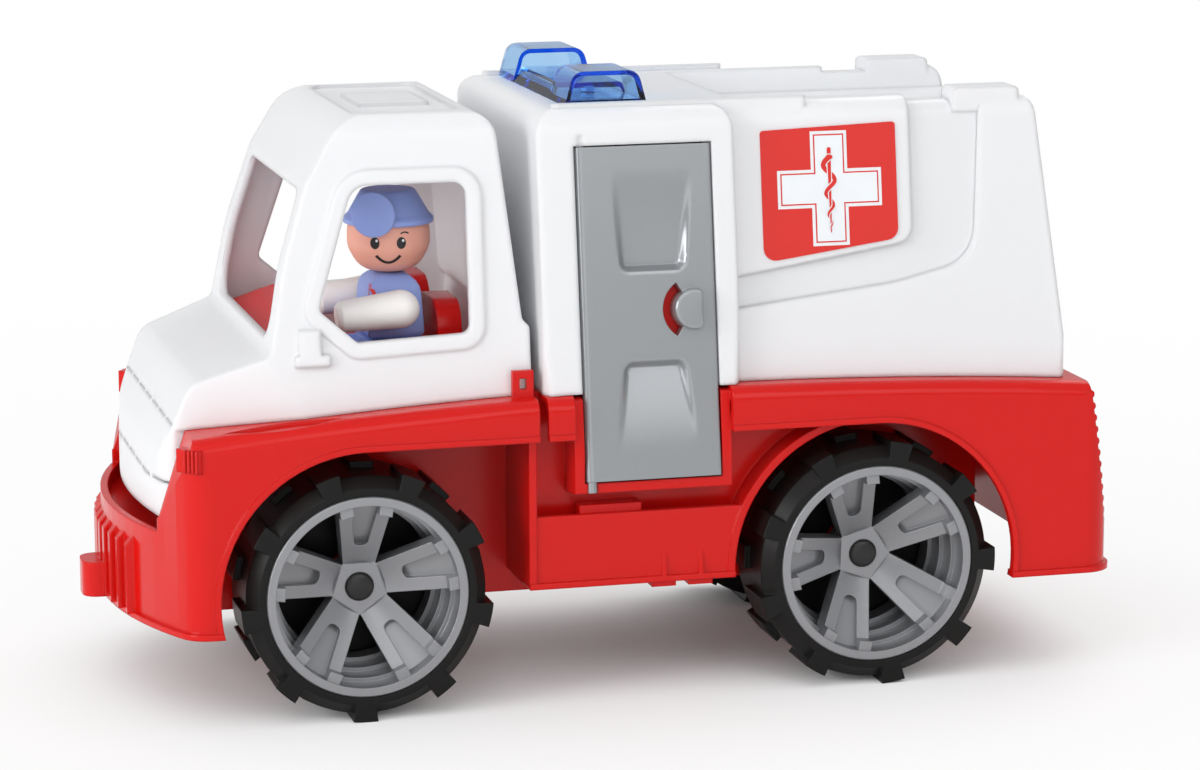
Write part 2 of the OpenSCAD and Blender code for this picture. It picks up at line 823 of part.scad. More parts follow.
// Nose below the deck, between the fender posts
module cab_nose() {
    difference() {
        intersection() {
            cab_envelope(0);
            block([-total_l, -nose_half, nose_low_z], [wind_base_x, nose_half, deck_z]);
        }
        intersection() {
            cab_envelope(-cab_wall);
            block([-total_l, cab_wall - nose_half, 0], [total_l, nose_half - cab_wall, 2 * deck_z]);
        }
        block([-total_l, cab_wall - nose_half, 0],
            [nose_x + 4 * cab_wall, nose_half - cab_wall, nose_low_z]);
        block([nose_x + 4 * cab_wall, cab_wall - nose_half, 0],
            [total_l, nose_half - cab_wall, nose_low_z + 2 * cab_wall]);
        wheel_room();
    }
}
module roof_recess() {
    difference() {
        upward(brow_z, 2 * cab_roof_z) difference() {
            rotate(-90) polygon(rounded(mirrored([
                [cab_half - roof_front_in, brow_x + roof_front_gap, roof_panel_r],
                [cab_half - roof_rear_in, cab_back_x - back_slope - roof_rear_gap, roof_panel_r]])));
            translate([pad_x, -pad_w / 2]) square([pad_l, pad_w]);
        }
        cab_envelope(-roof_sink);
    }
}
// Small stepped block at the foot of the screen pillar
module mirror_block() {
    z = wind_base_z - mirror_foot_h;
    x = brow_x - mirror_reach;
    intersection() {
        cab_envelope(2 * frame_proud);
        both_sides() {
            block([x, -body_w, z + mirror_foot_h],
                [x + mirror_l, -cab_half / 2, z + mirror_foot_h + mirror_h]);
            block([x - lip_out, -body_w, z], [x + mirror_foot_l, -cab_half / 2, z + mirror_foot_h]);
        }
    }
}
module grille_slots() {
    for (rise = slot_rises, i = [0:slot_count - 1]) {
        z = nose_low_z + rise;
        y = (i - (slot_count - 1) / 2) * slot_pitch;
        block([-total_l, y - slot_l / 2, z], [hood_x, y + slot_l / 2, z + slot_h]);
    }
}
module cab_shell() {
    color(white) difference() {
        union() {
            difference() {
                union() {
                    cab_envelope(0);
                    intersection() {
                        cab_envelope(frame_proud);
                        across(-body_w, body_w) offset(r = frame_w) polygon(rounded(side_window()));
                    }
                    mirror_block();
                }
                cab_envelope(-cab_wall);
                drum(seat_gap);
            }
            cab_nose();
        }
        across(-body_w, body_w) polygon(rounded(side_window()));
        along(-total_l, front_axle_x) polygon(rounded(windscreen()));
        roof_recess();
        grille_slots();
    }
}

// Seats, floor and dashboard in one moulding
module cab_interior() {
    floor_half = cab_half - 2 * cab_wall;
    base = deck_z - tub_depth;
    color(red) difference() {
        union() {
            block([dash_x0, -floor_half, base], [seat_x1, floor_half, deck_z + tub_floor]);
            across(-dash_half, dash_half) polygon(rounded([[dash_x0, base, 0], [knee_x, base, 0],
                [knee_x, knee_z, 0], [dash_x1, knee_z, 0], [dash_x1, wind_base_z + dash_rise, tub_r],
                [dash_x0, wind_base_z, 0]]));
            across(-dash_half, dash_half) polygon(rounded([[seat_x0, base, 0], [seat_x1, base, 0],
                [seat_x1, seat_z, 0], [seat_x0, seat_z, tub_r]]));
            both_sides() along(seat_x1 - back_t, seat_x1) translate([driver_y, seat_z - tub_r])
                polygon(rounded([[-back_w / 2, 0, 0], [back_w / 2, 0, 0], [back_w / 2, back_h, back_r],
                    [-back_w / 2, back_h, back_r]]));
        }
        drum(2 * seat_gap);
    }
}

// Box envelope: the rear box and the wider door bay in front of it
function box_side(x0, x1, back_lean) = [
    [x0, band_z, 0], [x0, roof_z, box_edge_r], [x1 - back_lean, roof_z, box_edge_r],
    [x1, deck_z, 0], [x1, band_z, 0]];
function box_front(half) = mirrored([
    [half + (deck_z - band_z) * lean_tan, band_z, 0],
    [half + (deck_z - roof_z) * lean_tan, roof_z, box_edge_r]]);
module box_part(x0, x1, back_lean, half, grow) {
    wide = half + (deck_z - band_z) * lean_tan;
    corner = box_edge_r;
    intersection() {
        across(-body_w, body_w) offset(delta = grow) polygon(rounded(box_side(x0, x1, back_lean)));
        along(-total_l, total_l) offset(delta = grow) polygon(rounded(box_front(half)));
        upward(0, 2 * roof_z) offset(delta = grow) polygon(rounded([[x0, -wide, corner], [x1, -wide, corner],
            [x1, wide, corner], [x0, wide, corner]]));
    }
}
module box_envelope(grow) {
    box_part(box_front_x, box_rear_x, box_tail_in, box_half, grow);
    box_part(box_front_x, portal_rear_x, 0, portal_half, grow);
}
module roof_valley(grow) {
    along(portal_rear_x + valley_start - grow, total_l) offset(delta = grow) polygon(rounded(mirrored([
        [box_half - valley_low_in, roof_z - valley_depth, 0],
        [box_half - valley_top_in, roof_z + valley_depth, 0]])));
}
// Side view of the sunk panel, above and before the swoosh
function sunk_panel() = [
    [portal_rear_x, deck_z + swoosh_start_h, 0],
    [portal_rear_x + swoosh_bend, deck_z + swoosh_bend_h, swoosh_bend_r],
    [portal_rear_x + swoosh_end, deck_z + swoosh_end_h, swoosh_end_r],
    [portal_rear_x + swoosh_top, 2 * roof_z, 0],
    [portal_rear_x, 2 * roof_z, 0]];
function label_pad() = [
    [portal_rear_x, deck_z + pad_low_h, 0],
    [portal_rear_x + pad_end, deck_z + pad_low_h + pad_rise, pad_r],
    [portal_rear_x + pad_end, 2 * roof_z, 0],
    [portal_rear_x, 2 * roof_z, 0]];
module side_relief() {
    difference() {
        across(-body_w, body_w) difference() {
            polygon(rounded(sunk_panel()));
            polygon(rounded(label_pad()));
        }
        box_envelope(-swoosh_sink);
    }
}
module roof_rails() {
    top_half = box_half + (deck_z - roof_z) * lean_tan;
    foot = roof_z - 2 * box_wall;
    both_sides() {
        upward(foot, roof_z + rail_h) translate([box_front_x + box_edge_r, rail_in - top_half])
            polygon(rounded([[0, 0, rail_r], [rail_l, 0, rail_r],
                [rail_l, rail_w, rail_r], [0, rail_w, rail_r]]));
        translate([box_rear_x - box_tail_in - bump_in, 0, 0]) across(rail_in - top_half, bump_w - top_half)
            polygon(rounded([[-bump_l, foot, 0], [0, foot, 0], [0, roof_z + bump_h, rail_r],
                [-bump_l, roof_z + bump_h, rail_r]]));
    }
}
// Reveal round a side door, with a stop behind its free edge
module door_jamb() {
    top = door_low + door_h + run_gap;
    depth = door_t + stop_w + run_gap;
    intersection() {
        on_wall(portal_half) {
            across(box_wall / 2, depth) difference() {
                translate([door_x0 - jamb_t, -reach]) square([door_w + 2 * jamb_t, reach + top + jamb_t]);
                translate([door_x0, -2 * reach]) square([door_w, 2 * reach + top]);
            }
            across(door_t + run_gap, depth) translate([door_x1 - stop_w, -reach])
                square([stop_w, reach + top]);
        }
        box_envelope(0);
    }
}
module on_tail() {
    translate([box_rear_x, 0, deck_z]) rotate([0, -atan(box_tail_in / (roof_z - deck_z)), 0]) children();
}
module hatch_jamb() {
    depth = door_t + stop_w + run_gap;
    intersection() {
        on_tail() along(-depth, -box_wall / 2) difference() {
            translate([-hatch_w / 2 - jamb_t, hatch_rise - jamb_t])
                square([hatch_w + 2 * jamb_t, hatch_h + 2 * jamb_t]);
            translate([-hatch_w / 2, hatch_rise]) square([hatch_w, hatch_h]);
        }
        box_envelope(0);
    }
}
module box_body() {
    color(white) difference() {
        union() {
            difference() {
                box_envelope(0);
                roof_valley(0);
                difference() {
                    box_envelope(-box_wall);
                    roof_valley(box_wall);
                }
                side_relief();
            }
            roof_rails();
            both_sides() door_jamb();
            hatch_jamb();
        }
        drum(seat_gap);
        both_sides() on_wall(portal_half) {
            across(-reach, door_t + run_gap) translate([door_x0, -reach])
                square([door_w, reach + door_low + door_h + run_gap]);
            across(-reach, door_t * 3) translate([door_x0, -reach])
                square([door_w - stop_w, reach + door_low + door_h + run_gap - stop_w]);
            translate([hinge_x, door_t / 2, door_low + door_h - cut])
                cylinder(r = pin_r + fit_gap, h = pin_l + 2 * cut);
        }
        on_tail() {
            along(-door_t * 3, reach) translate([-hatch_w / 2, hatch_rise]) square([hatch_w, hatch_h]);
            translate([-door_t / 2, 0, hatch_axis]) rotate([90, 0, 0])
                cylinder(r = pin_r + fit_gap, h = hatch_w + 2 * pin_l + 2 * fit_gap, center = true);
        }
        for (side = [-1, 1])
            translate([lamp_x, side * lamp_span / 4, roof_z - 3 * box_wall])
                cylinder(r = peg_r + fit_gap, h = 4 * box_wall);
    }
}

// Bench for the patient on the deck of the box
module patient_bench() {
    top = deck_z + bench_h;
    base = deck_z - tub_depth;
    color(red) translate([bench_x, 0, 0]) difference() {
        across(-bench_w / 2, bench_w / 2) polygon(rounded([[0, base, 0], [bench_l, base, 0],
            [bench_l, top, bench_r], [pillow_l, top, 2 * bench_r], [0, top + pillow_h, bench_r]]));
        translate([-bench_x, 0, 0]) drum(2 * seat_gap);
        across(bench_wall - bench_w / 2, bench_w / 2 - bench_wall) translate([bench_wall, base - cut])
            square([bench_l - 2 * bench_wall, bench_h + tub_depth + cut - bench_wall]);
    }
}

// Twin lamps joined by a low bridge
function lamp_side(high) = rounded([[-lamp_l / 2, 0, 0], [lamp_l / 2, 0, 0],
    [lamp_l / 2 - lamp_slope, high, high * lamp_round_share],
    [lamp_slope - lamp_l / 2, high, high * lamp_round_share]]);
module light_bar() {
    base = roof_z + seat_gap;
    color(blue) translate([lamp_x, 0, base]) {
        difference() {
            union() {
                across(-lamp_span / 2, lamp_span / 2) polygon(lamp_side(bridge_h));
                both_sides() across(-lamp_span / 2, lamp_w - lamp_span / 2) polygon(lamp_side(lamp_h));
            }
            across(lamp_wall - lamp_span / 2, lamp_span / 2 - lamp_wall) offset(delta = -lamp_wall)
                polygon(concat([[-lamp_l / 2, -bridge_h], [lamp_l / 2, -bridge_h]], lamp_side(bridge_h)));
            both_sides() across(lamp_wall - lamp_span / 2, lamp_w - lamp_wall - lamp_span / 2) difference() {
                offset(delta = -lamp_wall) polygon(lamp_side(lamp_h));
                translate([-lamp_l, -lamp_h]) square([2 * lamp_l, lamp_h]);
            }
        }
        for (side = [-1, 1])
            translate([0, side * lamp_span / 4, -peg_l])
                cylinder(r = peg_r, h = peg_l + bridge_h - lamp_wall / 2);
    }
}

// A door panel standing on its wall, hinged on its round edge
module side_door() {
    high = door_low + door_h;
    difference() {
        union() {
            across(0, door_t) polygon(rounded([[hinge_x, door_low, 0],
                [door_x1 - run_gap, door_low, door_edge_r], [door_x1 - run_gap, high, door_edge_r],
                [hinge_x, high, 0]]));
            translate([hinge_x, door_t / 2, door_low]) cylinder(r = door_t / 2, h = door_h);
            translate([hinge_x, door_t / 2, door_low - run_gap - frame_t + seat_gap])
                cylinder(r = pin_r, h = door_h + run_gap + frame_t + pin_l - seat_gap);
            // Rolled lip round the lower part of the upper panel
            across(-roll_out, door_t / 2) intersection() {
                offset(r = roll_w) polygon(rounded(door_outline(upper_shares, panel_r, panel_r)));
                translate([door_x0, door_low]) square([door_w, door_h * roll_share]);
            }
            lower_bulge();
            door_grip();
        }
        across(-reach, panel_sink) polygon(rounded(door_outline(upper_shares, panel_r, panel_r)));
        grip_slot();
    }
}
// Corners from shares of the door's width and height, with radii for the lower and the upper two
function door_outline(shares, low_r, high_r) = [for (i = [0:len(shares) - 1])
    [door_x0 + door_w * shares[i][0], door_low + door_h * shares[i][1], i < 2 ? low_r : high_r]];
// Lower panel, swelling outward towards its top
module lower_bulge() {
    low = door_low + door_h * lower_shares[0][1];
    high = door_low + door_h * lower_shares[2][1];
    intersection() {
        across(-bulge_out, door_t / 2) polygon(rounded(door_outline(lower_shares, bulge_r, bulge_top_r)));
        along(-total_l, total_l) polygon([[door_t / 2, low], [-fit_gap, low],
            [-bulge_out, high - bulge_out], [-bulge_out, high], [door_t / 2, high]]);
    }
}
module on_grip() {
    translate([door_x0 + door_w * grip_shares[0], 0, door_low + door_h * grip_shares[1]]) children();
}
// Half-round knob, flattened in front and cut straight at its free side
module door_grip() {
    on_grip() intersection() {
        sphere(r = grip_r);
        block([-grip_r, -grip_out, -grip_r], [grip_side, door_t, grip_r]);
    }
}
// Crescent finger slot through the door beside the knob
module grip_slot() {
    on_grip() rotate([90, 0, 0]) linear_extrude(height = 4 * door_t, center = true) intersection() {
        difference() {
            circle(r = grip_r + slot_w);
            circle(r = grip_r);
        }
        polygon([[0, 0], [-2 * grip_r, 2 * grip_r], [-2 * grip_r, -2 * grip_r]]);
    }
}
module side_door_left() {
    color(grey) on_wall(portal_half) side_door();
}
module side_door_right() {
    color(grey) mirror([0, 1, 0]) on_wall(portal_half) side_door();
}
function hatch_outline(shares) =
    mirrored([for (s = shares) [hatch_w / 2 * s[0], hatch_rise + hatch_h * s[1], hatch_panel_r]]);
module rear_hatch() {
    half = hatch_w / 2 - run_gap;
    low = hatch_rise + run_gap;
    color(grey) on_tail() difference() {
        union() {
            along(-door_t, 0) polygon(rounded([[-half, low, door_edge_r], [half, low, door_edge_r],
                [half, hatch_axis, 0], [-half, hatch_axis, 0]]));
            translate([-door_t / 2, 0, hatch_axis]) rotate([90, 0, 0]) {
                cylinder(r = door_t / 2, h = 2 * half, center = true);
                cylinder(r = pin_r, h = hatch_w + 2 * pin_l, center = true);
            }
            along(-door_t / 2, panel_sink) polygon(rounded(hatch_outline(hatch_low_shares)));
        }
        along(-panel_sink, reach) polygon(rounded(hatch_outline(hatch_high_shares)));
    }
}

// Printed panels on the sides of the box
module label() {
    low = wall_h - label_low_drop;
    high = wall_h - label_top_drop;
    x = portal_rear_x + label_gap;
    on_wall(box_half) across(-label_t, 0) polygon(rounded([[x, low, label_r],
        [x + label_l, low + label_rise, label_r], [x + label_l, high, label_top_r],
        [x, high - label_tilt, label_top_r]]));
}
module label_left() {
    color(red) label();
}
module label_right() {
    color(red) mirror([0, 1, 0]) label();
}

// Wheels: local z runs inward from the outer face
module wheel_place(axle_x, side) {
    mirror([0, side > 0 ? 1 : 0, 0]) translate([axle_x, -wheel_half, axle_z]) rotate([-90, 0, 0]) children();
}
module tyre_solid(turn) {
    outer = tyre_d / 2;
    base = outer - lug_h;
    pitch = 360 / lug_count;
    difference() {
        union() {
            rotate_extrude() polygon([[0, 0], [outer - shoulder_drop, 0], [base, shoulder_in],
                [base, tyre_w - shoulder_in], [outer - shoulder_drop, tyre_w], [0, tyre_w]]);
            for (i = [0:lug_count - 1], face = [0, 1])
                rotate([0, 0, turn - 90 + (i + face / 2) * pitch]) tyre_lug(face, pitch);
        }
        translate([0, 0, -cut]) cylinder(r = rim_d / 2 + fit_gap, h = tyre_w + cut - tyre_web_t);
        translate([0, 0, -cut]) cylinder(r = boss_r + run_gap, h = tyre_w + 2 * cut);
    }
}
module tyre_lug(face, pitch) {
    outer = tyre_d / 2;
    half = pitch * lug_share / 2;
    low = outer - shoulder_drop - cut;
    z = face * (tyre_w / 2 - lug_over);
    foot = half * lug_foot_share;
    translate([0, 0, z]) linear_extrude(height = tyre_w / 2 + lug_over) intersection() {
        circle(r = outer, $fn = 2 * $fn);
        polygon([low * [cos(foot), -sin(foot)], 2 * outer * [cos(half), -sin(half)],
            2 * outer * [cos(half), sin(half)], low * [cos(foot), sin(foot)]]);
    }
}
// Conical dish of the spokes, from the hub up to the ring
module spoke_dish(drop, thick) {
    hub_z = hub_depth + hub_rise + drop;
    ring_z = dish_lip + drop;
    edge = rim_d / 2 - ring_w / 2;
    rotate_extrude() polygon([[0, hub_z], [dish_r, hub_z], [edge, ring_z], [edge, ring_z + thick],
        [dish_r, hub_z + thick], [0, hub_z + thick]]);
}
// Column over a double spoke, or over the slot between its prongs
module spoke_column(foot, hub_w, ring_span, corner) {
    outer = rim_d / 2;
    translate([0, 0, -cut]) linear_extrude(height = rim_w)
        polygon(rounded([[foot, -hub_w / 2, corner], [outer, -ring_span / 2, 0],
            [outer, ring_span / 2, 0], [foot, hub_w / 2, corner]]));
}
module prong_column() {
    spoke_column(hub_r * foot_share, prong_hub_w, prong_ring_w, 0);
}
module slot_column() {
    spoke_column(hub_r + slot_foot, slot_hub_w, slot_ring_w, slot_r);
}
module spoke() {
    difference() {
        intersection() {
            spoke_dish(0, spoke_t + web_drop);
            prong_column();
        }
        difference() {
            slot_column();
            spoke_dish(web_drop, 2 * spoke_t);
        }
    }
    // Prong ends stepping up to the ring
    intersection() {
        rotate_extrude() translate([rim_d / 2 - 2 * ring_w, 2 * ring_edge])
            square([ring_w + ring_edge, spoke_t]);
        difference() {
            prong_column();
            slot_column();
        }
    }
}
function barrel_steps() = [for (i = [0:barrel_count - 1], end = [1, 0])
    [rim_d / 2 - ring_w - i * barrel_step, rim_w * (i + 1 - end) / barrel_count]];
module rim_solid(turn) {
    outer = rim_d / 2;
    difference() {
        union() {
            // Ring and stepped barrel
            rotate_extrude() polygon(concat(
                [[outer, rim_w], [outer, ring_edge], [outer - ring_edge, 0]], barrel_steps()));
            for (i = [0:spoke_count - 1]) rotate([0, 0, turn - 90 + i * 360 / spoke_count]) spoke();
            // Hub with one flat for each spoke, and its sleeve
            translate([0, 0, hub_depth]) rotate([0, 0, turn - 90 + 180 / spoke_count])
                cylinder(r = hub_r, h = hub_rise + spoke_t + web_drop + ring_edge, $fn = spoke_count);
            translate([0, 0, hub_depth + ring_edge]) cylinder(r = boss_r, h = rim_w - hub_depth - ring_edge);
        }
        translate([0, 0, -cut]) cylinder(r = axle_d / 2 + fit_gap, h = 2 * rim_w);
        translate([0, 0, -cut]) cylinder(r = cap_d / 2 + fit_gap, h = hub_depth + cap_seat + cut);
    }
}
module hub_cap_solid() {
    edge = cap_d / 2;
    translate([0, 0, hub_depth + cap_seat - cap_t]) difference() {
        rotate_extrude() polygon([[0, 0], [edge / 2, cap_dome / 3], [edge - cap_dome, cap_dome],
            [edge, 2 * cap_dome], [edge, cap_t], [0, cap_t]]);
        translate([0, 0, cap_t / 2]) cylinder(r = axle_d / 2 + fit_gap, h = cap_t);
    }
}
module tyre_at(end, side) {
    color(black) wheel_place(end < 1 ? front_axle_x : rear_axle_x, side) tyre_solid(tyre_turns[end]);
}
module rim_at(end, side) {
    color(silver) wheel_place(end < 1 ? front_axle_x : rear_axle_x, side) rim_solid(rim_turns[end]);
}
module hub_cap_at(end, side) {
    color(black) wheel_place(end < 1 ? front_axle_x : rear_axle_x, side) hub_cap_solid();
}
module axle_at(x) {
    half = wheel_half - hub_depth - cap_seat + cap_t / 2 - seat_gap;
    color(steel) translate([x, 0, axle_z]) rotate([90, 0, 0])
        cylinder(r = axle_d / 2, h = 2 * half, center = true);
}

// Driver figure, seated
module at_driver(z) {
    translate([driver_x, driver_y, z]) children();
}
module driver_torso() {
    rise = torso_h - hip_h;
    color(scrub_blue) at_driver(seat_z + hip_h + 2 * seat_gap) difference() {
        union() {
            intersection() {
                along(-torso_d, torso_d) polygon(rounded(mirrored([[torso_w / 2, 0, waist_r],
                    [torso_w / 2 - waist_r / 2, rise, chest_r]])));
                across(-torso_w, torso_w) polygon(rounded([
                    [-torso_d / 2, 0, waist_r], [torso_d / 2, 0, waist_r],
                    [torso_d / 2 - waist_r / 2, rise, chest_r],
                    [waist_r / 2 - torso_d / 2, rise, chest_r]]));
            }
            cylinder(r = neck_r, h = rise + neck_h);
        }
        translate([0, 0, shoulder_z - seat_z - hip_h - 2 * seat_gap]) rotate([90, 0, 0])
            cylinder(r = peg_r + fit_gap, h = 2 * torso_w, center = true);
    }
}
// Hips and both legs, stretched forward from the seat
module driver_legs() {
    color(scrub_blue) at_driver(seat_z + seat_gap) {
        across(-torso_w / 2, torso_w / 2) polygon(rounded([[-torso_d / 2, 0, 0], [torso_d / 2, 0, waist_r],
            [torso_d / 2, hip_h, 0], [-torso_d / 2, hip_h, 0]]));
        for (side = [-1, 1]) translate([0, side * (torso_w / 2 - leg_r), leg_r]) {
            rotate([0, -90, 0]) cylinder(r = leg_r, h = leg_l);
            translate([-leg_l, 0, 0]) sphere(r = leg_r);
        }
    }
}
function head_profile() = let (r = head_d / 2) rounded([[0, 0, 0], [r * chin_share, 0, cheek_r],
    [r, r * cheek_share, cheek_r], [r, r * brow_share, cheek_r],
    [r * crown_share, crown_h, 0], [0, crown_h, 0]]);
module driver_head() {
    color(skin_tone) at_driver(neck_z + run_gap) difference() {
        rotate_extrude() polygon(head_profile());
        translate([0, 0, -cut]) cylinder(r = neck_r + fit_gap, h = neck_h + cut);
    }
}
module mirror_axis(gap) {
    translate([0, 0, mirror_rise]) rotate([0, 0, 180 + head_turn - mirror_turn]) rotate([0, 90, 0])
        cylinder(r = mirror_pin_r + gap, h = cap_brim_r + fit_gap);
}
module driver_cap() {
    color(scrub_blue) at_driver(neck_z + run_gap) difference() {
        translate([0, 0, brim_z]) rotate_extrude() polygon(rounded([[0, 0, 0], [cap_brim_r, 0, brim_t / 3],
            [cap_brim_r, brim_t, brim_t / 3], [cap_brim_r - brim_t, 2 * brim_t, brim_t],
            [cap_top_r, cap_h, brim_t], [0, cap_h, 0]]));
        translate([0, 0, seat_gap]) rotate_extrude() polygon([[0, 0], [head_d / 2 + seat_gap, 0],
            [head_d / 2 + seat_gap, brim_z + fit_gap], [head_d / 2 * crown_share + run_gap, crown_h],
            [0, crown_h]]);
        mirror_axis(fit_gap);
    }
}
// Round mirror with a pin into the cap
module head_mirror() {
    color(scrub_blue) at_driver(neck_z + run_gap) {
        translate([0, 0, mirror_rise]) rotate([0, 0, 180 + head_turn - mirror_turn])
            translate([cap_brim_r + fit_gap, 0, 0]) rotate([0, 90, 0])
                cylinder(r = mirror_d / 2, h = mirror_t);
        difference() {
            mirror_axis(0);
            cylinder(r = cap_brim_r - mirror_pin_l, h = 2 * mirror_rise);
        }
    }
}
module arm(side) {
    color(cream) at_driver(shoulder_z) translate([0, side * (torso_w / 2 + arm_gap + arm_r), 0]) {
        rotate([0, -90 - arm_droop, 0]) {
            sphere(r = arm_r);
            rotate_extrude() polygon([[0, 0], [arm_r, 0], [hand_r, arm_l],
                [hand_r - lip_out, arm_l + lip_out], [0, arm_l + lip_out]]);
        }
        rotate([side * 90, 0, 0]) cylinder(r = peg_r, h = arm_r + arm_gap + peg_l);
    }
}
module driver_arm_left() {
    arm(-1);
}
module driver_arm_right() {
    arm(1);
}

chassis();
cab_shell();
cab_interior();
box_body();
patient_bench();
light_bar();
side_door_left();
side_door_right();
rear_hatch();
label_left();
label_right();
axle_at(front_axle_x);  // axle_front
axle_at(rear_axle_x);  // axle_rear
tyre_at(0, -1);  // tyre_front_left
tyre_at(0, 1);  // tyre_front_right
tyre_at(1, -1);  // tyre_rear_left
tyre_at(1, 1);  // tyre_rear_right
rim_at(0, -1);  // rim_front_left
rim_at(0, 1);  // rim_front_right
rim_at(1, -1);  // rim_rear_left
rim_at(1, 1);  // rim_rear_right
hub_cap_at(0, -1);  // hub_cap_front_left
hub_cap_at(0, 1);  // hub_cap_front_right
hub_cap_at(1, -1);  // hub_cap_rear_left
hub_cap_at(1, 1);  // hub_cap_rear_right
driver_torso();
driver_legs();
driver_head();
driver_cap();
head_mirror();
driver_arm_left();
driver_arm_right();
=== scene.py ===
import json
import math

import bmesh
import bpy
from mathutils import Matrix, Vector
from mathutils.bvhtree import BVHTree


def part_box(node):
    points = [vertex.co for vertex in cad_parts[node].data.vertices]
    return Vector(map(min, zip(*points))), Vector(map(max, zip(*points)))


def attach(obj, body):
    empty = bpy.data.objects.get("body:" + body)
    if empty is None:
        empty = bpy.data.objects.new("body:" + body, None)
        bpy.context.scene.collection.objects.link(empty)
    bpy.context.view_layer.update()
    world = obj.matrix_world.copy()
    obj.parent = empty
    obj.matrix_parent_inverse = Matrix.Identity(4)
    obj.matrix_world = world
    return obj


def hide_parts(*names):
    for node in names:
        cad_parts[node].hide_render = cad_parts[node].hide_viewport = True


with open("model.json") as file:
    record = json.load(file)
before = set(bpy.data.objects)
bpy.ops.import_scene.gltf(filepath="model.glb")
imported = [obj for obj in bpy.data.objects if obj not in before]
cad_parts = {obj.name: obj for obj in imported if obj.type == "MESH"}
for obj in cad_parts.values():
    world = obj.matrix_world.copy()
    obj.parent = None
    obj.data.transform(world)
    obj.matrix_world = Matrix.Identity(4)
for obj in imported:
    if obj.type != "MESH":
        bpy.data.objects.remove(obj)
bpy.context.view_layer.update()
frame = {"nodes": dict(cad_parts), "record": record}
nodes = frame["nodes"]

# Sizes in metres, angles in degrees
WALL_LEAN = 8.0
EDGE_ROUND = 0.0008
FINE_EDGE_ROUND = 0.0004
BROAD_EDGE_ROUND = 0.0020
EDGE_SAMPLES = 6
SMOOTH_ANGLE = 34.0
NORMAL_WEIGHT = 100
FLAT_ANGLE = 0.5
BEVEL_SEGMENTS = 4
ROUNDINGS = {"light_bar": 0.0012}
WELD_DISTANCE = 0.000002
PRINT_LIFT = 0.00006
PRINT_STEP = 0.00004
RAY_REACH = 0.05

# Camera: place, turn and frame
CAMERA_PLACE = (-0.2728, -1.0620, 0.2958)
CAMERA_AZIMUTH = 14.488
CAMERA_ELEVATION = 10.802
CAMERA_ROLL = -0.213
CAMERA_LENS = 114.25
SENSOR_WIDTH = 36.0
FRAME_SHIFT = (0.01475, -0.02042)

# Colours, linear
RED = (0.62, 0.006, 0.004)
WHITE = (0.79, 0.797, 0.815)
GREY = (0.33, 0.345, 0.36)
SILVER = (0.30, 0.305, 0.32)
BLACK = (0.009, 0.0086, 0.0083)
LAMP_BLUE = (0.08, 0.58, 0.94)
LAMP_DENSITY = 330.0
SCRUB_BLUE = (0.27, 0.36, 0.74)
SKIN = (0.86, 0.41, 0.31)
CREAM = (0.91, 0.88, 0.86)
LABEL_RED = (0.66, 0.014, 0.007)
LABEL_PALE = (0.80, 0.83, 0.86)
INK_BLACK = (0.012, 0.010, 0.010)
STEEL = (0.55, 0.56, 0.58)


# Materials: scales count per metre, spreads are parts of one
NOISE_DETAIL = 3.0
DRIFT_SCALE = 14.0
GLOSS_SCALE = 20.0
GLOSS_SPREAD = 0.04
GRAIN_SCALE = 900.0
GRAIN_DETAIL = 2.0
GRAIN_STRENGTH = 0.03
GRAIN_HEIGHT = 0.00003
PLASTIC_SPREAD = 0.06
PLASTIC_SHINE = 0.5
PLASTIC_INDEX = 1.49
SCATTER_REACH = (0.006, 0.005, 0.005)
FLECK_SCALE = 9000.0
FLECK_DETAIL = 1.0
FLECK_SPREAD = 0.06
FLECK_RANGE = (0.3, 0.7)
FLECK_GRAIN_SCALE = 700.0
CLOUD_SCALE = 40.0
CLOUD_LEVELS = (0.94, 1.0)
SMEAR_SCALE = 90.0
SMEAR_LEVELS = (0.03, 0.08)
LAMP_GRAIN_SCALE = 500.0
LAMP_INDEX = 1.35
INK_SCALE = 120.0
INK_SPREAD = 0.03
INK_ROUGHNESS = 0.42
FILM_SCALE = 1500.0
FILM_STRENGTH = 0.12
FILM_HEIGHT = 0.00002


def tint(colour, factor):
    return tuple(min(1.0, c * factor) for c in colour) + (1.0,)


def grey_level(value):
    return (value, value, value, 1.0)


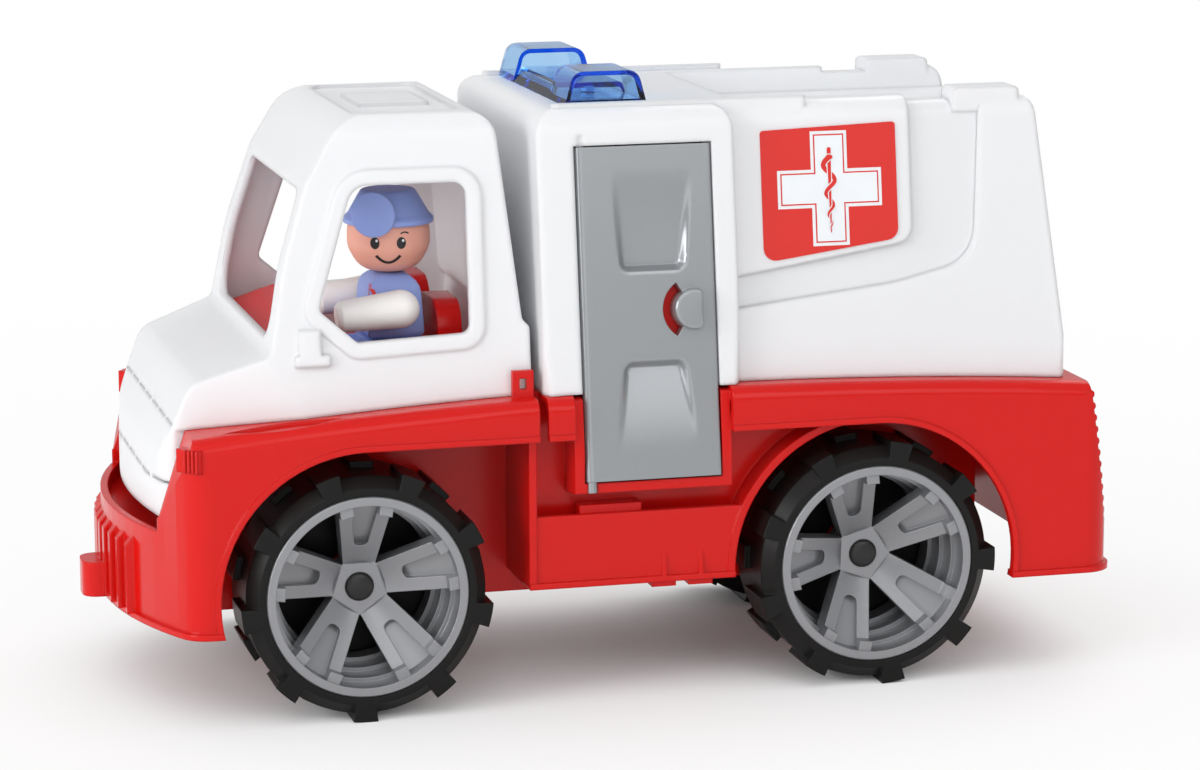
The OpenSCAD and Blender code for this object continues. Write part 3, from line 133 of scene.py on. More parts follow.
class Paint:
    """A node material under construction."""

    def __init__(self, name):
        self.material = bpy.data.materials.new(name)
        self.material.use_nodes = True
        self.tree = self.material.node_tree
        self.shader = self.tree.nodes["Principled BSDF"]
        self.place = self.add("ShaderNodeTexCoord").outputs["Object"]

    def add(self, kind, **settings):
        node = self.tree.nodes.new(kind)
        for key, value in settings.items():
            setattr(node, key, value)
        return node

    def link(self, source, target):
        self.tree.links.new(source, target)

    def set(self, **sockets):
        for name, value in sockets.items():
            self.shader.inputs[name.replace("_", " ")].default_value = value

    def noise(self, scale, detail=NOISE_DETAIL):
        node = self.add("ShaderNodeTexNoise")
        node.inputs["Scale"].default_value = scale
        node.inputs["Detail"].default_value = detail
        self.link(self.place, node.inputs["Vector"])
        return node.outputs["Fac"]

    def ramp(self, source, low, high, start=0.0, end=1.0):
        node = self.add("ShaderNodeValToRGB")
        first, last = node.color_ramp.elements
        first.position, last.position = start, end
        first.color, last.color = low, high
        self.link(source, node.inputs["Fac"])
        return node.outputs["Color"]

    def colour(self, ramp):
        self.link(ramp, self.shader.inputs["Base Color"])

    def uneven_gloss(self, roughness):
        """Roughness that drifts a little from place to place."""
        low, high = roughness * (1 - GLOSS_SPREAD), roughness * (1 + GLOSS_SPREAD)
        drift = self.noise(GLOSS_SCALE, 0.0)
        self.link(self.ramp(drift, grey_level(low), grey_level(high)), self.shader.inputs["Roughness"])

    def bump(self, source, strength, distance, edge=0.0):
        """A fine grain over edges that catch the light as if rounded."""
        node = self.add("ShaderNodeBump")
        node.inputs["Strength"].default_value = strength
        node.inputs["Distance"].default_value = distance
        self.link(source, node.inputs["Height"])
        if edge:
            rounded = self.add("ShaderNodeBevel", samples=EDGE_SAMPLES)
            rounded.inputs["Radius"].default_value = edge
            self.link(rounded.outputs["Normal"], node.inputs["Normal"])
        self.link(node.outputs["Normal"], self.shader.inputs["Normal"])


def plastic(name, colour, roughness, spread=PLASTIC_SPREAD, grain=GRAIN_STRENGTH, grain_scale=GRAIN_SCALE,
            subsurface=0.0, edge=EDGE_ROUND, shine=PLASTIC_SHINE):
    """Moulded plastic: slow tone drift, uneven gloss and a fine moulded grain."""
    paint = Paint(name)
    drift = paint.noise(DRIFT_SCALE, 0.0)
    paint.colour(paint.ramp(drift, tint(colour, 1 - spread), tint(colour, 1 + spread / 2)))
    paint.uneven_gloss(roughness)
    paint.bump(paint.noise(grain_scale, GRAIN_DETAIL), grain, GRAIN_HEIGHT, edge)
    paint.set(IOR=PLASTIC_INDEX, Specular_IOR_Level=shine)
    paint.set(Subsurface_Weight=subsurface, Subsurface_Radius=SCATTER_REACH, Subsurface_Scale=1.0)
    return paint.material


def flecked(name, colour, roughness, metallic):
    """Silver plastic with fine metal flecks."""
    paint = Paint(name)
    fleck = paint.noise(FLECK_SCALE, FLECK_DETAIL)
    dark, light = tint(colour, 1 - FLECK_SPREAD), tint(colour, 1 + FLECK_SPREAD)
    paint.colour(paint.ramp(fleck, dark, light, *FLECK_RANGE))
    paint.uneven_gloss(roughness)
    paint.bump(paint.noise(FLECK_GRAIN_SCALE, GRAIN_DETAIL), GRAIN_STRENGTH, GRAIN_HEIGHT, FINE_EDGE_ROUND)
    paint.set(Metallic=metallic)
    return paint.material


def clear_plastic(name, colour, density):
    """Clear plastic that is tinted in its depth and lets light through to what is behind it."""
    paint = Paint(name)
    paint.colour(paint.ramp(paint.noise(CLOUD_SCALE), *map(grey_level, CLOUD_LEVELS)))
    smear = paint.ramp(paint.noise(SMEAR_SCALE), *map(grey_level, SMEAR_LEVELS))
    paint.link(smear, paint.shader.inputs["Roughness"])
    paint.bump(paint.noise(LAMP_GRAIN_SCALE, GRAIN_DETAIL), GRAIN_STRENGTH, GRAIN_HEIGHT)
    paint.set(IOR=LAMP_INDEX, Transmission_Weight=1.0)
    depth = paint.add("ShaderNodeVolumeAbsorption")
    depth.inputs["Color"].default_value = tint(colour, 1.0)
    depth.inputs["Density"].default_value = density
    output = paint.tree.nodes["Material Output"]
    paint.link(depth.outputs[0], output.inputs["Volume"])
    clear = paint.add("ShaderNodeBsdfTransparent")
    mix = paint.add("ShaderNodeMixShader")
    paint.link(paint.add("ShaderNodeLightPath").outputs["Is Shadow Ray"], mix.inputs["Fac"])
    paint.link(paint.shader.outputs[0], mix.inputs[1])
    paint.link(clear.outputs[0], mix.inputs[2])
    paint.link(mix.outputs[0], output.inputs["Surface"])
    return paint.material


def printed(name, colour):
    """Ink on a film, with the film's faint orange peel."""
    paint = Paint(name)
    tone = paint.noise(INK_SCALE)
    paint.colour(paint.ramp(tone, tint(colour, 1 - INK_SPREAD), tint(colour, 1 + INK_SPREAD)))
    paint.bump(paint.noise(FILM_SCALE, GRAIN_DETAIL), FILM_STRENGTH, FILM_HEIGHT)
    paint.set(Roughness=INK_ROUGHNESS)
    return paint.material


materials = {
    "red_plastic": plastic("red_plastic", RED, roughness=0.2, shine=0.28),
    "white_plastic": plastic("white_plastic", WHITE, roughness=0.3, spread=0.02, subsurface=0.15,
                             edge=BROAD_EDGE_ROUND),
    "grey_plastic": flecked("grey_plastic", GREY, roughness=0.28, metallic=0.55),
    "rim_silver": flecked("rim_silver", SILVER, roughness=0.30, metallic=0.55),
    "tyre_black": plastic("tyre_black", BLACK, roughness=0.36, spread=0.25, grain=0.1, grain_scale=600.0,
                          shine=0.18),
    "cap_black": plastic("cap_black", BLACK, roughness=0.30, spread=0.2),
    "blue_clear": clear_plastic("blue_clear", LAMP_BLUE, LAMP_DENSITY),
    "label_print": printed("label_print", LABEL_RED),
    "steel": flecked("steel", STEEL, roughness=0.30, metallic=1.0),
    "scrub_blue": plastic("scrub_blue", SCRUB_BLUE, roughness=0.45),
    "skin_tone": plastic("skin_tone", SKIN, roughness=0.48, spread=0.04, subsurface=0.15),
    "cream_plastic": plastic("cream_plastic", CREAM, roughness=0.45, spread=0.03, subsurface=0.1),
}
# White ink for the printed cross border, also used for the painted highlights on the driver's eyes
white_ink_and_glint = printed("white_ink_and_glint", WHITE)
pale_ink = printed("pale_ink", LABEL_PALE)
red_ink = printed("red_ink", LABEL_RED)
black_ink = printed("black_ink", INK_BLACK)


# Carried-over parts: finish and smooth shading

def smooth(obj, rounding=0.0):
    """Smooth shading that breaks at the moulded edges, without touching the part's own points."""
    mesh = obj.data
    if "custom_normal" in mesh.attributes:
        mesh.attributes.remove(mesh.attributes["custom_normal"])
    mesh.polygons.foreach_set("use_smooth", [True] * len(mesh.polygons))
    weld = obj.modifiers.new("weld", "WELD")
    weld.merge_threshold = WELD_DISTANCE
    if rounding:
        flat = obj.modifiers.new("flat", "DECIMATE")
        flat.decimate_type = "DISSOLVE"
        flat.angle_limit = math.radians(FLAT_ANGLE)
        bevel = obj.modifiers.new("bevel", "BEVEL")
        bevel.width = rounding
        bevel.segments = BEVEL_SEGMENTS
        bevel.limit_method = "ANGLE"
        bevel.angle_limit = math.radians(SMOOTH_ANGLE)
    split = obj.modifiers.new("split", "EDGE_SPLIT")
    split.split_angle = math.radians(SMOOTH_ANGLE)
    normals = obj.modifiers.new("normals", "WEIGHTED_NORMAL")
    normals.mode = "FACE_AREA"
    normals.weight = NORMAL_WEIGHT


slot_of = {part["node"]: part["material_slot"] for part in frame["record"]["subparts"]}
for name, obj in nodes.items():
    obj.data.materials.clear()
    obj.data.materials.append(materials[slot_of[name]])
    smooth(obj, ROUNDINGS.get(name, 0.0))


# Prints: flat shapes laid on a part's surface

def mesh_piece(name, verts, faces, material, body, slot):
    mesh = bpy.data.meshes.new(name)
    mesh.from_pydata([tuple(v) for v in verts], [], faces)
    mesh.update()
    obj = bpy.data.objects.new(name, mesh)
    bpy.context.scene.collection.objects.link(obj)
    mesh.materials.append(material)
    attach(obj, body)
    return obj


def filled(outline, cuts):
    """Vertices and faces of a flat outline, cut finer so that it can bend."""
    bm = bmesh.new()
    bm.faces.new([bm.verts.new((x, y, 0)) for x, y in outline])
    bm.normal_update()
    bmesh.ops.triangulate(bm, faces=bm.faces[:], ngon_method="EAR_CLIP")
    if cuts:
        bmesh.ops.subdivide_edges(bm, edges=bm.edges[:], cuts=cuts, use_grid_fill=True)
        bmesh.ops.triangulate(bm, faces=bm.faces[:])
    bm.verts.index_update()
    verts = [(v.co.x, v.co.y) for v in bm.verts]
    faces = [[v.index for v in f.verts] for f in bm.faces]
    bm.free()
    return verts, faces


def surface_of(*names):
    """A tree of the named parts' surfaces for casting rays."""
    verts, faces = [], []
    for name in names:
        mesh = nodes[name].data
        start = len(verts)
        verts += [v.co.copy() for v in mesh.vertices]
        faces += [[start + i for i in p.vertices] for p in mesh.polygons]
    return BVHTree.FromPolygons(verts, faces)


def lay_print(name, outline, plane, tree, lift, material, body, slot, cuts=0):
    """Casts an outline, drawn in plane = (centre, right, up), onto a surface and lifts it clear."""
    centre, right, up = plane
    inward = up.cross(right).normalized()
    verts, faces = filled(outline, cuts)
    points = []
    for x, y in verts:
        start = centre + right * x + up * y
        hit = tree.ray_cast(start - inward * RAY_REACH, inward, 2 * RAY_REACH)[0]
        if hit is None:
            hit = tree.find_nearest(start)[0]
        points.append(hit - inward * lift)
    return mesh_piece(name, points, faces, material, body, slot)


def strip_outline(path, widths):
    """Outline of a ribbon along a path of points with a width at each."""
    left, right = [], []
    last = len(path) - 1
    for i, (point, width) in enumerate(zip(path, widths)):
        a, b = path[max(i - 1, 0)], path[min(i + 1, last)]
        along = Vector((b[0] - a[0], b[1] - a[1])).normalized()
        across = Vector((-along.y, along.x)) * width / 2
        left.append((point[0] + across.x, point[1] + across.y))
        right.append((point[0] - across.x, point[1] - across.y))
    return left + right[::-1]


def cross_outline(width, length, height, inset):
    """A cross with bars of one width, shrunk by an inset."""
    w, a, b = width / 2 - inset, length / 2 - inset, height / 2 - inset
    left = [(-w, b), (-w, w), (-a, w), (-a, -w), (-w, -w), (-w, -b)]
    return left + [(-x, y) for x, y in reversed(left)]


def oval(width, height, x=0.0, y=0.0, count=20):
    turns = [2 * math.pi * i / count for i in range(count)]
    return [(x + width / 2 * math.cos(turn), y + height / 2 * math.sin(turn)) for turn in turns]


# Sign on the side labels: a white cross with a staff and serpent. Where the serpent runs to the left
# it passes in front of the staff, and a pale gap sets off what lies in front
CROSS_BAR = 0.0108
CROSS_LENGTH = 0.0308
CROSS_HEIGHT = 0.0324
CROSS_RISE = 0.0008
CROSS_BORDER = 0.0009
CROSS_LINE = 0.0004
STAFF_TOP = 0.0116
STAFF_FOOT = -0.0125
STAFF_WIDTHS = (0.0012, 0.0003)
STAFF_STEPS = 8
SERPENT_TOP = 0.0088
SERPENT_FALL = 0.0047
SERPENT_SLACK = 0.00024
SERPENT_HALF_TURNS = 6.3
SERPENT_SWINGS = (0.0019, 0.0002)
SERPENT_WIDTHS = (0.0015, 0.0003)
SERPENT_EDGE = 0.0005
SERPENT_STEPS = 80
FRONT_REACH = 0.45
HEAD_SIZE = (0.0020, 0.0015)


def label_plane(side, word):
    low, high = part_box(f"label_{word}")
    lean = math.radians(WALL_LEAN)
    up = Vector((0, -side * math.sin(lean), math.cos(lean)))
    right = Vector((-side, 0, 0))
    middle = (low + high) / 2 + up * CROSS_RISE
    return middle, right, up


def between(ends, t):
    return ends[0] + (ends[1] - ends[0]) * t


def serpent_outline(start, end, extra=0.0):
    """The serpent from one count of half turns round the staff to another, growing thinner."""
    path, widths = [], []
    for i in range(SERPENT_STEPS + 1):
        turn = between((start, end), i / SERPENT_STEPS)
        share = turn / SERPENT_HALF_TURNS
        swing = between(SERPENT_SWINGS, share)
        rise = SERPENT_TOP - SERPENT_FALL * turn + SERPENT_SLACK * turn ** 2
        path.append((-swing * math.sin(math.pi * turn), rise))
        widths.append(between(SERPENT_WIDTHS, share) + extra)
    return strip_outline(path, widths)


def staff_outline(extra=0.0):
    """The staff, with a round top and a thin foot."""
    half = STAFF_WIDTHS[0] / 2
    path, widths = [], []
    for i in range(1, STAFF_STEPS + 1):
        turn = math.pi / 2 * i / STAFF_STEPS
        path.append((0, STAFF_TOP - half * (1 - math.cos(turn))))
        widths.append(STAFF_WIDTHS[0] * math.sin(turn) + extra)
    path.append((0, STAFF_FOOT))
    widths.append(STAFF_WIDTHS[1] + extra)
    return strip_outline(path, widths)


def sign(side, word):
    plane = label_plane(side, word)
    tree = surface_of(f"label_{word}")
    cross = (CROSS_BAR, CROSS_LENGTH, CROSS_HEIGHT)
    layers = [
        ("cross_border", cross_outline(*cross, 0), white_ink_and_glint, 0),
        ("cross_line", cross_outline(*cross, CROSS_BORDER), red_ink, 1),
        ("cross_field", cross_outline(*cross, CROSS_BORDER + CROSS_LINE), pale_ink, 2),
        ("serpent", serpent_outline(0, SERPENT_HALF_TURNS), red_ink, 3),
        ("staff_edge", staff_outline(SERPENT_EDGE), pale_ink, 4),
        ("staff", staff_outline(), red_ink, 5),
        ("head_edge", oval(*(size + SERPENT_EDGE for size in HEAD_SIZE), 0, SERPENT_TOP), pale_ink, 6)]
    for crossing in range(0, math.ceil(SERPENT_HALF_TURNS), 2):
        ends = max(0, crossing - FRONT_REACH), min(SERPENT_HALF_TURNS, crossing + FRONT_REACH)
        layers.append((f"serpent_edge_{crossing}", serpent_outline(*ends, SERPENT_EDGE), pale_ink, 7))
        layers.append((f"serpent_front_{crossing}", serpent_outline(*ends), red_ink, 8))
    layers.append(("serpent_head", oval(*HEAD_SIZE, 0, SERPENT_TOP), red_ink, 9))
    for part, outline, ink, layer in layers:
        lift = PRINT_LIFT + layer * PRINT_STEP
        lay_print(f"{part}_{word}", outline, plane, tree, lift, ink, "truck", "label_print")


for side, word in ((-1, "left"), (1, "right")):
    sign(side, word)


# Driver's face, printed on the side of the head that looks out of the window, with a painted highlight as a
# white dot on each eye
FACE_TURN = 78.0
EYE_UP = 0.0092
EYE_SIZE = (0.0026, 0.0034)
EYE_GAP = 0.0074
# Painted highlight on each eye: size and offset of the white dot
GLINT_SIZE = (0.0007, 0.0008)
GLINT_OFF = (0.0005, 0.0007)
SMILE_HALF = 0.0034
SMILE_LOW = -0.0036
SMILE_DROP = 0.0021
SMILE_WIDTH = 0.0008
BROW_OUT = 0.0009
BROW_RISE = 0.0026
BROW_HALF = 0.0011
BROW_WIDTH = 0.0004


def arc_path(half, low, drop, x=0.0, count=14):
    runs = [2 * i / count - 1 for i in range(count + 1)]
    return [(x + half * run, low - drop * (1 - run ** 2)) for run in runs]


def facing_plane(node, turn, rise):
    """Plane that looks out of a part, turned from straight ahead to the left."""
    low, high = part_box(node)
    middle = (low + high) / 2
    angle = math.radians(turn)
    out = Vector((-math.cos(angle), -math.sin(angle), 0))
    up = Vector((0, 0, 1))
    return Vector((middle.x, middle.y, low.z + rise)), up.cross(out), up


face = facing_plane("driver_head", FACE_TURN, EYE_UP)
head_tree = surface_of("driver_head")
smile = arc_path(SMILE_HALF, SMILE_LOW, SMILE_DROP)
face_marks = [("smile", strip_outline(smile, [SMILE_WIDTH] * len(smile)), black_ink, 0)]
for side, word in ((-1, "left"), (1, "right")):
    eye_x = side * EYE_GAP / 2
    brow = arc_path(BROW_HALF, BROW_RISE, -BROW_WIDTH, eye_x + side * BROW_OUT)
    face_marks.append((f"eye_{word}", oval(*EYE_SIZE, eye_x), black_ink, 0))
    # White dot on the eye: a painted highlight, laid on the head like the print
    face_marks.append((f"glint_{word}", oval(*GLINT_SIZE, eye_x + GLINT_OFF[0], GLINT_OFF[1]), white_ink_and_glint, 1))
    face_marks.append((f"brow_{word}", strip_outline(brow, [BROW_WIDTH] * len(brow)), black_ink, 0))
for name, outline, ink, layer in face_marks:
    lift = PRINT_LIFT + layer * PRINT_STEP
    lay_print(f"face_{name}", outline, face, head_tree, lift, ink, "head", "skin_tone", cuts=2)


# Red tubes printed on the driver's chest
CHEST_TURN = 40.0
CHEST_UP = 0.0120
TUBE_WIDTH = 0.0007
TUBE_RUN = 0.0075
TUBE_SWING = 0.0016
TUBE_STEPS = 10

chest = facing_plane("driver_torso", CHEST_TURN, CHEST_UP)
chest_tree = surface_of("driver_torso")
for i, shift in enumerate((0.0, 2 * TUBE_WIDTH)):
    runs = [step / TUBE_STEPS for step in range(TUBE_STEPS + 1)]
    tube = [(shift + TUBE_SWING * math.sin(math.pi * run), TUBE_RUN * (run - 1 / 2)) for run in runs]
    outline = strip_outline(tube, [TUBE_WIDTH] * len(tube))
    lay_print(f"chest_tube_{i}", outline, chest, chest_tree, PRINT_LIFT, red_ink, "truck", "label_print",
              cuts=1)


# Side doors: dished panels, a finger slot with the red latch behind it, and a thumb knob
# Panels as shares of the door's width and height: left and right at the deep end and at the flush end,
# then the heights of both ends
UPPER_SHARES = {"deep": (0.262, 0.778), "flush": (0.205, 0.865), "heights": (0.620, 0.93)}
LOWER_SHARES = {"deep": (0.268, 0.760), "flush": (0.180, 0.845), "heights": (0.358, 0.09)}
PANEL_DEPTH = 0.0028
PANEL_CURVE = 1.6
PANEL_EDGE = 0.0022
PANEL_CORNER = 0.0030
KNOB_SHARES = (0.822, 0.505)
KNOB_RADIUS = 0.0058
KNOB_SIDE = 0.0024
KNOB_OUT = 0.0028
KNOB_EDGE = 0.0010
SLOT_WIDTH = 0.0030
SLOT_TURN = 58.0
LATCH_THICK = 0.0008
LATCH_LAP = 0.0010
DOOR_EDGE = 0.0007
DOOR_COLUMNS = 76
DOOR_ROWS = 170
ROUND_STEPS = 8
KNOB_SPOKES = 40
KNOB_RINGS = 7


def ease(value):
    """0 below 0, 1 above 1, and a smooth step between."""
    t = min(1.0, max(0.0, value))
    return t * t * (3 - 2 * t)


class Door:
    """A side door's own frame: x along the truck, h up its leaning face, d inward from its front."""

    def __init__(self, side, word):
        self.word, self.node = word, f"side_door_{word}"
        lean = math.radians(WALL_LEAN)
        self.up = Vector((0, -side * math.sin(lean), math.cos(lean)))
        self.inward = Vector((0, -side * math.cos(lean), -math.sin(lean)))
        low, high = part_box(self.node)
        middle = (low + high) / 2
        outside = Vector((middle.x, side, middle.z))
        front = surface_of(self.node).ray_cast(outside, Vector((0, -side, 0)))[0]
        self.origin = Vector((0, front.y, front.z))
        points = [self.inside(v.co) for v in nodes[self.node].data.vertices]
        face = [p for p in points if abs(p.z) < WELD_DISTANCE]
        self.low = Vector((min(p.x for p in face), min(p.y for p in face)))
        self.high = Vector((max(p.x for p in face), max(p.y for p in face)))
        self.size = self.high - self.low
        self.thick = max(p.z for p in points)
        self.pins = min(p.y for p in points), max(p.y for p in points)
        ends = [p for p in points if abs(p.y - self.pins[1]) < WELD_DISTANCE]
        self.pin_radius = (max(p.x for p in ends) - min(p.x for p in ends)) / 2
        self.hinge = (max(p.x for p in ends) + min(p.x for p in ends)) / 2

    def inside(self, point):
        arm = point - self.origin
        return Vector((point.x, arm.dot(self.up), arm.dot(self.inward)))

    def outside(self, x, h, d):
        return Vector((x, 0, 0)) + self.origin + self.up * h + self.inward * d

    def at(self, shares):
        return self.low.x + self.size.x * shares[0], self.low.y + self.size.y * shares[1]


def dish(door, shares, x, h):
    """Depth of a panel that is deep at one end and runs out flush at the other."""
    across, up = (x - door.low.x) / door.size.x, (h - door.low.y) / door.size.y
    deep, flush = shares["heights"]
    run = (up - deep) / (flush - deep)
    left = shares["deep"][0] + (shares["flush"][0] - shares["deep"][0]) * run
    right = shares["deep"][1] + (shares["flush"][1] - shares["deep"][1]) * run
    gaps = [(across - left) * door.size.x, (right - across) * door.size.x,
            run * abs(flush - deep) * door.size.y]
    corner = [max(0.0, PANEL_CORNER - gap) for gap in gaps]
    inset = PANEL_CORNER - math.hypot(max(corner[0], corner[1]), corner[2])
    return PANEL_DEPTH * max(0.0, 1 - run) ** PANEL_CURVE * ease(min(min(gaps), inset) / PANEL_EDGE)


def door_loop(door):
    """The door's cross-section: front, rounded free edge, back and hinge barrel, as (x, d, on the front)."""
    half, right = door.thick / 2, door.high.x
    loop = [(door.hinge + (right - DOOR_EDGE - door.hinge) * i / DOOR_COLUMNS, 0.0, True)
            for i in range(DOOR_COLUMNS + 1)]
    for i in range(1, ROUND_STEPS + 1):
        turn = math.pi / 2 * i / ROUND_STEPS
        loop.append((right - DOOR_EDGE * (1 - math.sin(turn)), DOOR_EDGE * (1 - math.cos(turn)), False))
    loop += [(right, door.thick, False), (door.hinge, door.thick, False)]
    for i in range(1, 2 * ROUND_STEPS):
        turn = math.pi * i / (2 * ROUND_STEPS)
        loop.append((door.hinge - half * math.sin(turn), half + half * math.cos(turn), False))
    return loop


def door_slab(door):
    """The door's body as rows of its cross-section, dished in front."""
    loop = door_loop(door)
    verts, faces = [], []
    for row in range(DOOR_ROWS + 1):
        h = door.low.y + door.size.y * row / DOOR_ROWS
        for x, d, front in loop:
            sunk = dish(door, UPPER_SHARES, x, h) + dish(door, LOWER_SHARES, x, h) if front else 0.0
            verts.append(door.outside(x, h, d + sunk))
    count = len(loop)
    for row in range(DOOR_ROWS):
        for i in range(count):
            a, b = row * count + i, row * count + (i + 1) % count
            faces.append((a, b, b + count, a + count))
    faces += [tuple(reversed(range(count))), tuple(range(DOOR_ROWS * count, (DOOR_ROWS + 1) * count))]
    return verts, faces


def slot_outline(door, grow):
    """Crescent beside the knob, with its ends cut off straight."""
    x, h = door.at(KNOB_SHARES)
    turns = [math.radians(180 + SLOT_TURN * (2 * i / KNOB_SPOKES - 1)) for i in range(KNOB_SPOKES + 1)]
    inner, outer = KNOB_RADIUS - grow, KNOB_RADIUS + SLOT_WIDTH + grow
    ring = [(outer, turn) for turn in turns] + [(inner, turn) for turn in reversed(turns)]
    return [(x + r * math.cos(turn), h + r * math.sin(turn)) for r, turn in ring]


def prism(door, outline, near, far):
    """A straight block on an outline of the door's face."""
    count = len(outline)
    verts = [door.outside(x, h, d) for d in (near, far) for x, h in outline]
    faces = [(i, (i + 1) % count, count + (i + 1) % count, count + i) for i in range(count)]
    faces += [tuple(reversed(range(count))), tuple(range(count, 2 * count))]
    return verts, faces


def knob(door):
    """Flat round knob with a soft rim, cut straight on its free side."""
    x, h = door.at(KNOB_SHARES)
    verts, faces = [door.outside(x, h, -KNOB_OUT)], []
    for ring in range(1, KNOB_RINGS + 1):
        turn = math.pi / 2 * (ring - 1) / (KNOB_RINGS - 2)
        last = ring == KNOB_RINGS
        inset = 0.0 if last else KNOB_EDGE * (1 - math.sin(turn))
        d = DOOR_EDGE if last else KNOB_EDGE * (1 - math.cos(turn)) - KNOB_OUT
        for i in range(KNOB_SPOKES):
            angle = 2 * math.pi * i / KNOB_SPOKES
            reach = min(KNOB_RADIUS, KNOB_SIDE / max(math.cos(angle), KNOB_SIDE / KNOB_RADIUS)) - inset
            verts.append(door.outside(x + reach * math.cos(angle), h + reach * math.sin(angle), d))
    for i in range(KNOB_SPOKES):
        j = (i + 1) % KNOB_SPOKES
        faces.append((0, 1 + i, 1 + j))
        for ring in range(KNOB_RINGS - 1):
            start = 1 + ring * KNOB_SPOKES
            faces.append((start + i, start + KNOB_SPOKES + i, start + KNOB_SPOKES + j, start + j))
    return verts, faces


def pins(door):
    """Round pin through the hinge barrel, standing out at both ends."""
    count = 3 * ROUND_STEPS
    turns = [2 * math.pi * i / count for i in range(count)]
    ring = [(door.hinge + door.pin_radius * math.cos(turn), door.thick / 2 + door.pin_radius * math.sin(turn))
            for turn in turns]
    verts = [door.outside(x, h, d) for h in door.pins for x, d in ring]
    faces = [(i, (i + 1) % count, count + (i + 1) % count, count + i) for i in range(count)]
    faces += [tuple(reversed(range(count))), tuple(range(count, 2 * count))]
    return verts, faces


def solid(name, verts, faces):
    """A closed mesh with its faces turned outward."""
    bm = bmesh.new()
    points = [bm.verts.new(v) for v in verts]
    for face in faces:
        bm.faces.new([points[i] for i in face])
    bmesh.ops.recalc_face_normals(bm, faces=bm.faces[:])
    mesh = bpy.data.meshes.new(name)
    bm.to_mesh(mesh)
    bm.free()
    obj = bpy.data.objects.new(name, mesh)
    bpy.context.scene.collection.objects.link(obj)
    return obj


def cut_out(obj, tool):
    """The mesh of obj with tool taken away; both helpers are removed."""
    take = obj.modifiers.new("cut", "BOOLEAN")
    take.object, take.operation, take.solver = tool, "DIFFERENCE", "EXACT"
    result = bpy.data.meshes.new_from_object(obj.evaluated_get(bpy.context.evaluated_depsgraph_get()))
    for helper in (obj, tool):
        bpy.data.objects.remove(helper)
    return result


def make_door(side, word):
    door = Door(side, word)
    slab = solid("slab", *door_slab(door))
    slot = solid("slot", *prism(door, slot_outline(door, 0.0), -door.thick, 2 * door.thick))
    shell = cut_out(slab, slot)
    verts = [v.co.copy() for v in shell.vertices]
    faces = [tuple(p.vertices) for p in shell.polygons]
    for part_verts, part_faces in (knob(door), pins(door)):
        start = len(verts)
        verts += part_verts
        faces += [tuple(start + i for i in face) for face in part_faces]
    grey, red = materials["grey_plastic"], materials["red_plastic"]
    piece = mesh_piece(f"door_{word}_skin", verts, faces, grey, f"door_{word}", "grey_plastic")
    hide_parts(door.node)
    smooth(piece)
    latch = prism(door, slot_outline(door, LATCH_LAP), door.thick, door.thick + LATCH_THICK)
    mesh_piece(f"latch_{word}", *latch, red, f"door_{word}", "red_plastic")


for side, word in ((-1, "left"), (1, "right")):
    make_door(side, word)


# Stage: a white floor that keeps a soft shadow, and studio light
FLOOR_HALF = 6.0
FLOOR_GLOWS = (0.84, 1.0)
SHADE_REACH = 0.13
GLOW_REACH = (0.25, 0.75)
FLOOR_TONES = (0.88, 0.90)
FLOOR_SCALE = 3.0
FLOOR_ROUGHNESS = 0.9
LAMPS = {
    "key": {"place": (-0.7, -1.1, 1.5), "size": 1.2, "power": 5.6},
    "front": {"place": (-1.6, -0.6, 0.6), "size": 0.8, "power": 14.0},
    "side": {"place": (-0.2, -1.7, 0.35), "size": 0.7, "power": 1.5},
    "panel": {"place": (0.42, -1.45, 0.80), "size": 0.8, "power": 3.0},
    "back": {"place": (0.9, 0.9, 1.3), "size": 1.0, "power": 6.0},
}
AIM = (0.0, 0.0, 0.08)
SKY_LEVELS = (0.22, 0.75)


def background_rays(tree):
    """1 for rays that should see the plain white background."""
    path = tree.nodes.new("ShaderNodeLightPath")
    either = tree.nodes.new("ShaderNodeMath")
    either.operation = "MAXIMUM"
    tree.links.new(path.outputs["Is Camera Ray"], either.inputs[0])
    tree.links.new(path.outputs["Is Transmission Ray"], either.inputs[1])
    return either.outputs[0]


def floor_material():
    paint = Paint("floor_white")
    tree = paint.tree
    paint.colour(paint.ramp(paint.noise(FLOOR_SCALE), *map(grey_level, FLOOR_TONES)))
    paint.set(Roughness=FLOOR_ROUGHNESS)
    glow = paint.add("ShaderNodeEmission")
    far = paint.add("ShaderNodeVectorMath", operation="LENGTH")
    paint.link(paint.place, far.inputs[0])
    reach = paint.add("ShaderNodeMapRange", interpolation_type="SMOOTHSTEP")
    for socket, value in zip(("From Min", "From Max", "To Min", "To Max"), GLOW_REACH + FLOOR_GLOWS):
        reach.inputs[socket].default_value = value
    paint.link(far.outputs["Value"], reach.inputs["Value"])
    share = paint.add("ShaderNodeMath", operation="MULTIPLY")
    paint.link(background_rays(tree), share.inputs[0])
    shade = paint.add("ShaderNodeAmbientOcclusion")
    shade.inputs["Distance"].default_value = SHADE_REACH
    open_sky = paint.add("ShaderNodeMath", operation="MULTIPLY")
    paint.link(reach.outputs[0], open_sky.inputs[0])
    paint.link(shade.outputs["AO"], open_sky.inputs[1])
    paint.link(open_sky.outputs[0], share.inputs[1])
    mix = paint.add("ShaderNodeMixShader")
    paint.link(share.outputs[0], mix.inputs["Fac"])
    paint.link(paint.shader.outputs[0], mix.inputs[1])
    paint.link(glow.outputs[0], mix.inputs[2])
    paint.link(mix.outputs[0], tree.nodes["Material Output"].inputs["Surface"])
    return paint.material


def make_floor():
    h = FLOOR_HALF
    mesh = bpy.data.meshes.new("floor")
    mesh.from_pydata([(-h, -h, 0), (h, -h, 0), (h, h, 0), (-h, h, 0)], [], [(0, 1, 2, 3)])
    floor = bpy.data.objects.new("floor", mesh)
    bpy.context.scene.collection.objects.link(floor)
    mesh.materials.append(floor_material())


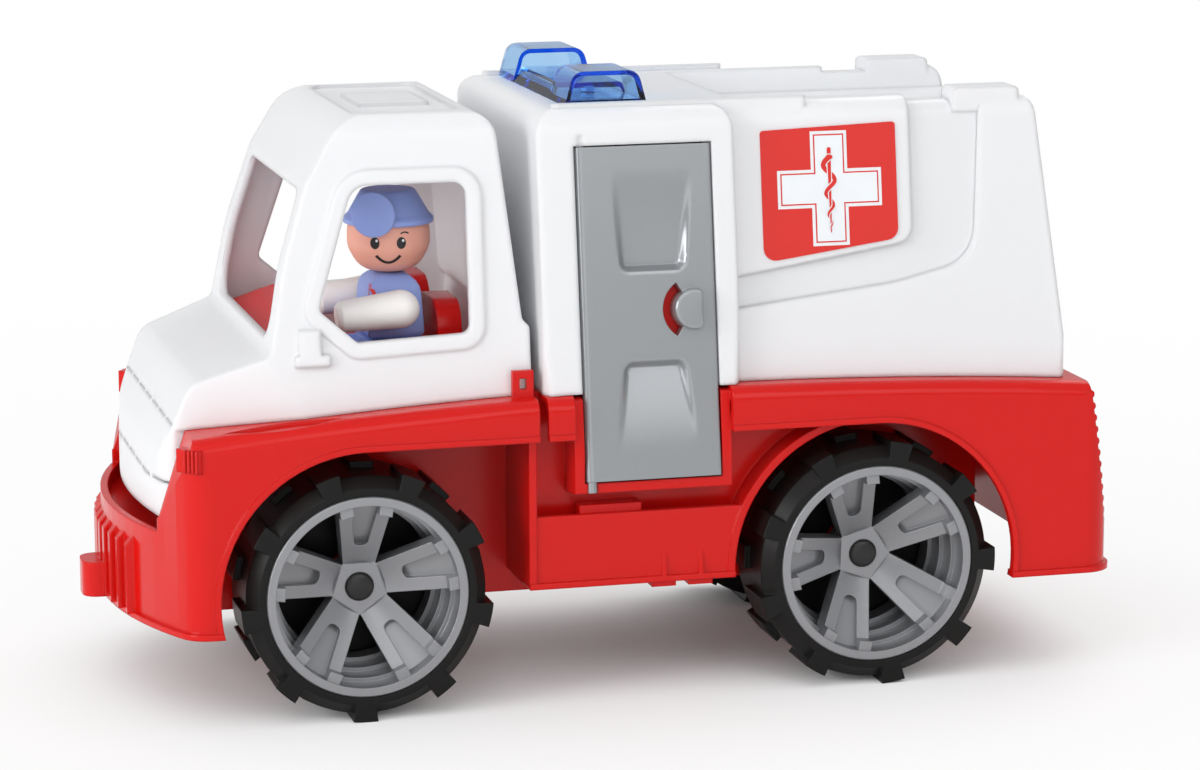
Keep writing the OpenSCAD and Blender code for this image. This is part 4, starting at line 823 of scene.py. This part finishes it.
def make_world():
    world = bpy.data.worlds.new("studio")
    bpy.context.scene.world = world
    world.use_nodes = True
    tree = world.node_tree
    light = tree.nodes["Background"]
    place = tree.nodes.new("ShaderNodeTexCoord")
    split = tree.nodes.new("ShaderNodeSeparateXYZ")
    height = tree.nodes.new("ShaderNodeMapRange")
    height.inputs["From Min"].default_value = -1.0
    height.inputs["To Min"].default_value, height.inputs["To Max"].default_value = SKY_LEVELS
    tree.links.new(place.outputs["Generated"], split.inputs[0])
    tree.links.new(split.outputs["Z"], height.inputs["Value"])
    tree.links.new(height.outputs[0], light.inputs["Strength"])
    light.inputs["Color"].default_value = grey_level(1.0)
    white = tree.nodes.new("ShaderNodeBackground")
    white.inputs["Color"].default_value = grey_level(1.0)
    mix = tree.nodes.new("ShaderNodeMixShader")
    tree.links.new(background_rays(tree), mix.inputs["Fac"])
    tree.links.new(light.outputs[0], mix.inputs[1])
    tree.links.new(white.outputs[0], mix.inputs[2])
    tree.links.new(mix.outputs[0], tree.nodes["World Output"].inputs["Surface"])


def make_lamps():
    for name, lamp in LAMPS.items():
        data = bpy.data.lights.new(name, "AREA")
        data.size = lamp["size"]
        data.energy = lamp["power"]
        obj = bpy.data.objects.new(name, data)
        obj.location = lamp["place"]
        aim = Vector(AIM) - Vector(lamp["place"])
        obj.rotation_euler = aim.to_track_quat("-Z", "Y").to_euler()
        bpy.context.scene.collection.objects.link(obj)


def make_camera():
    data = bpy.data.cameras.new("camera")
    data.sensor_width = SENSOR_WIDTH
    data.lens = CAMERA_LENS
    data.shift_x, data.shift_y = FRAME_SHIFT
    camera = bpy.data.objects.new("camera", data)
    turn, rise = math.radians(CAMERA_AZIMUTH), math.radians(CAMERA_ELEVATION)
    ahead = Vector((math.sin(turn) * math.cos(rise), math.cos(turn) * math.cos(rise), -math.sin(rise)))
    facing = ahead.to_track_quat("-Z", "Y").to_matrix().to_4x4()
    roll = Matrix.Rotation(math.radians(CAMERA_ROLL), 4, "Z")
    camera.matrix_world = Matrix.Translation(CAMERA_PLACE) @ facing @ roll
    bpy.context.scene.collection.objects.link(camera)
    bpy.context.scene.camera = camera


make_floor()
make_world()
make_lamps()
make_camera()
bpy.context.scene.view_settings.view_transform = "Standard"
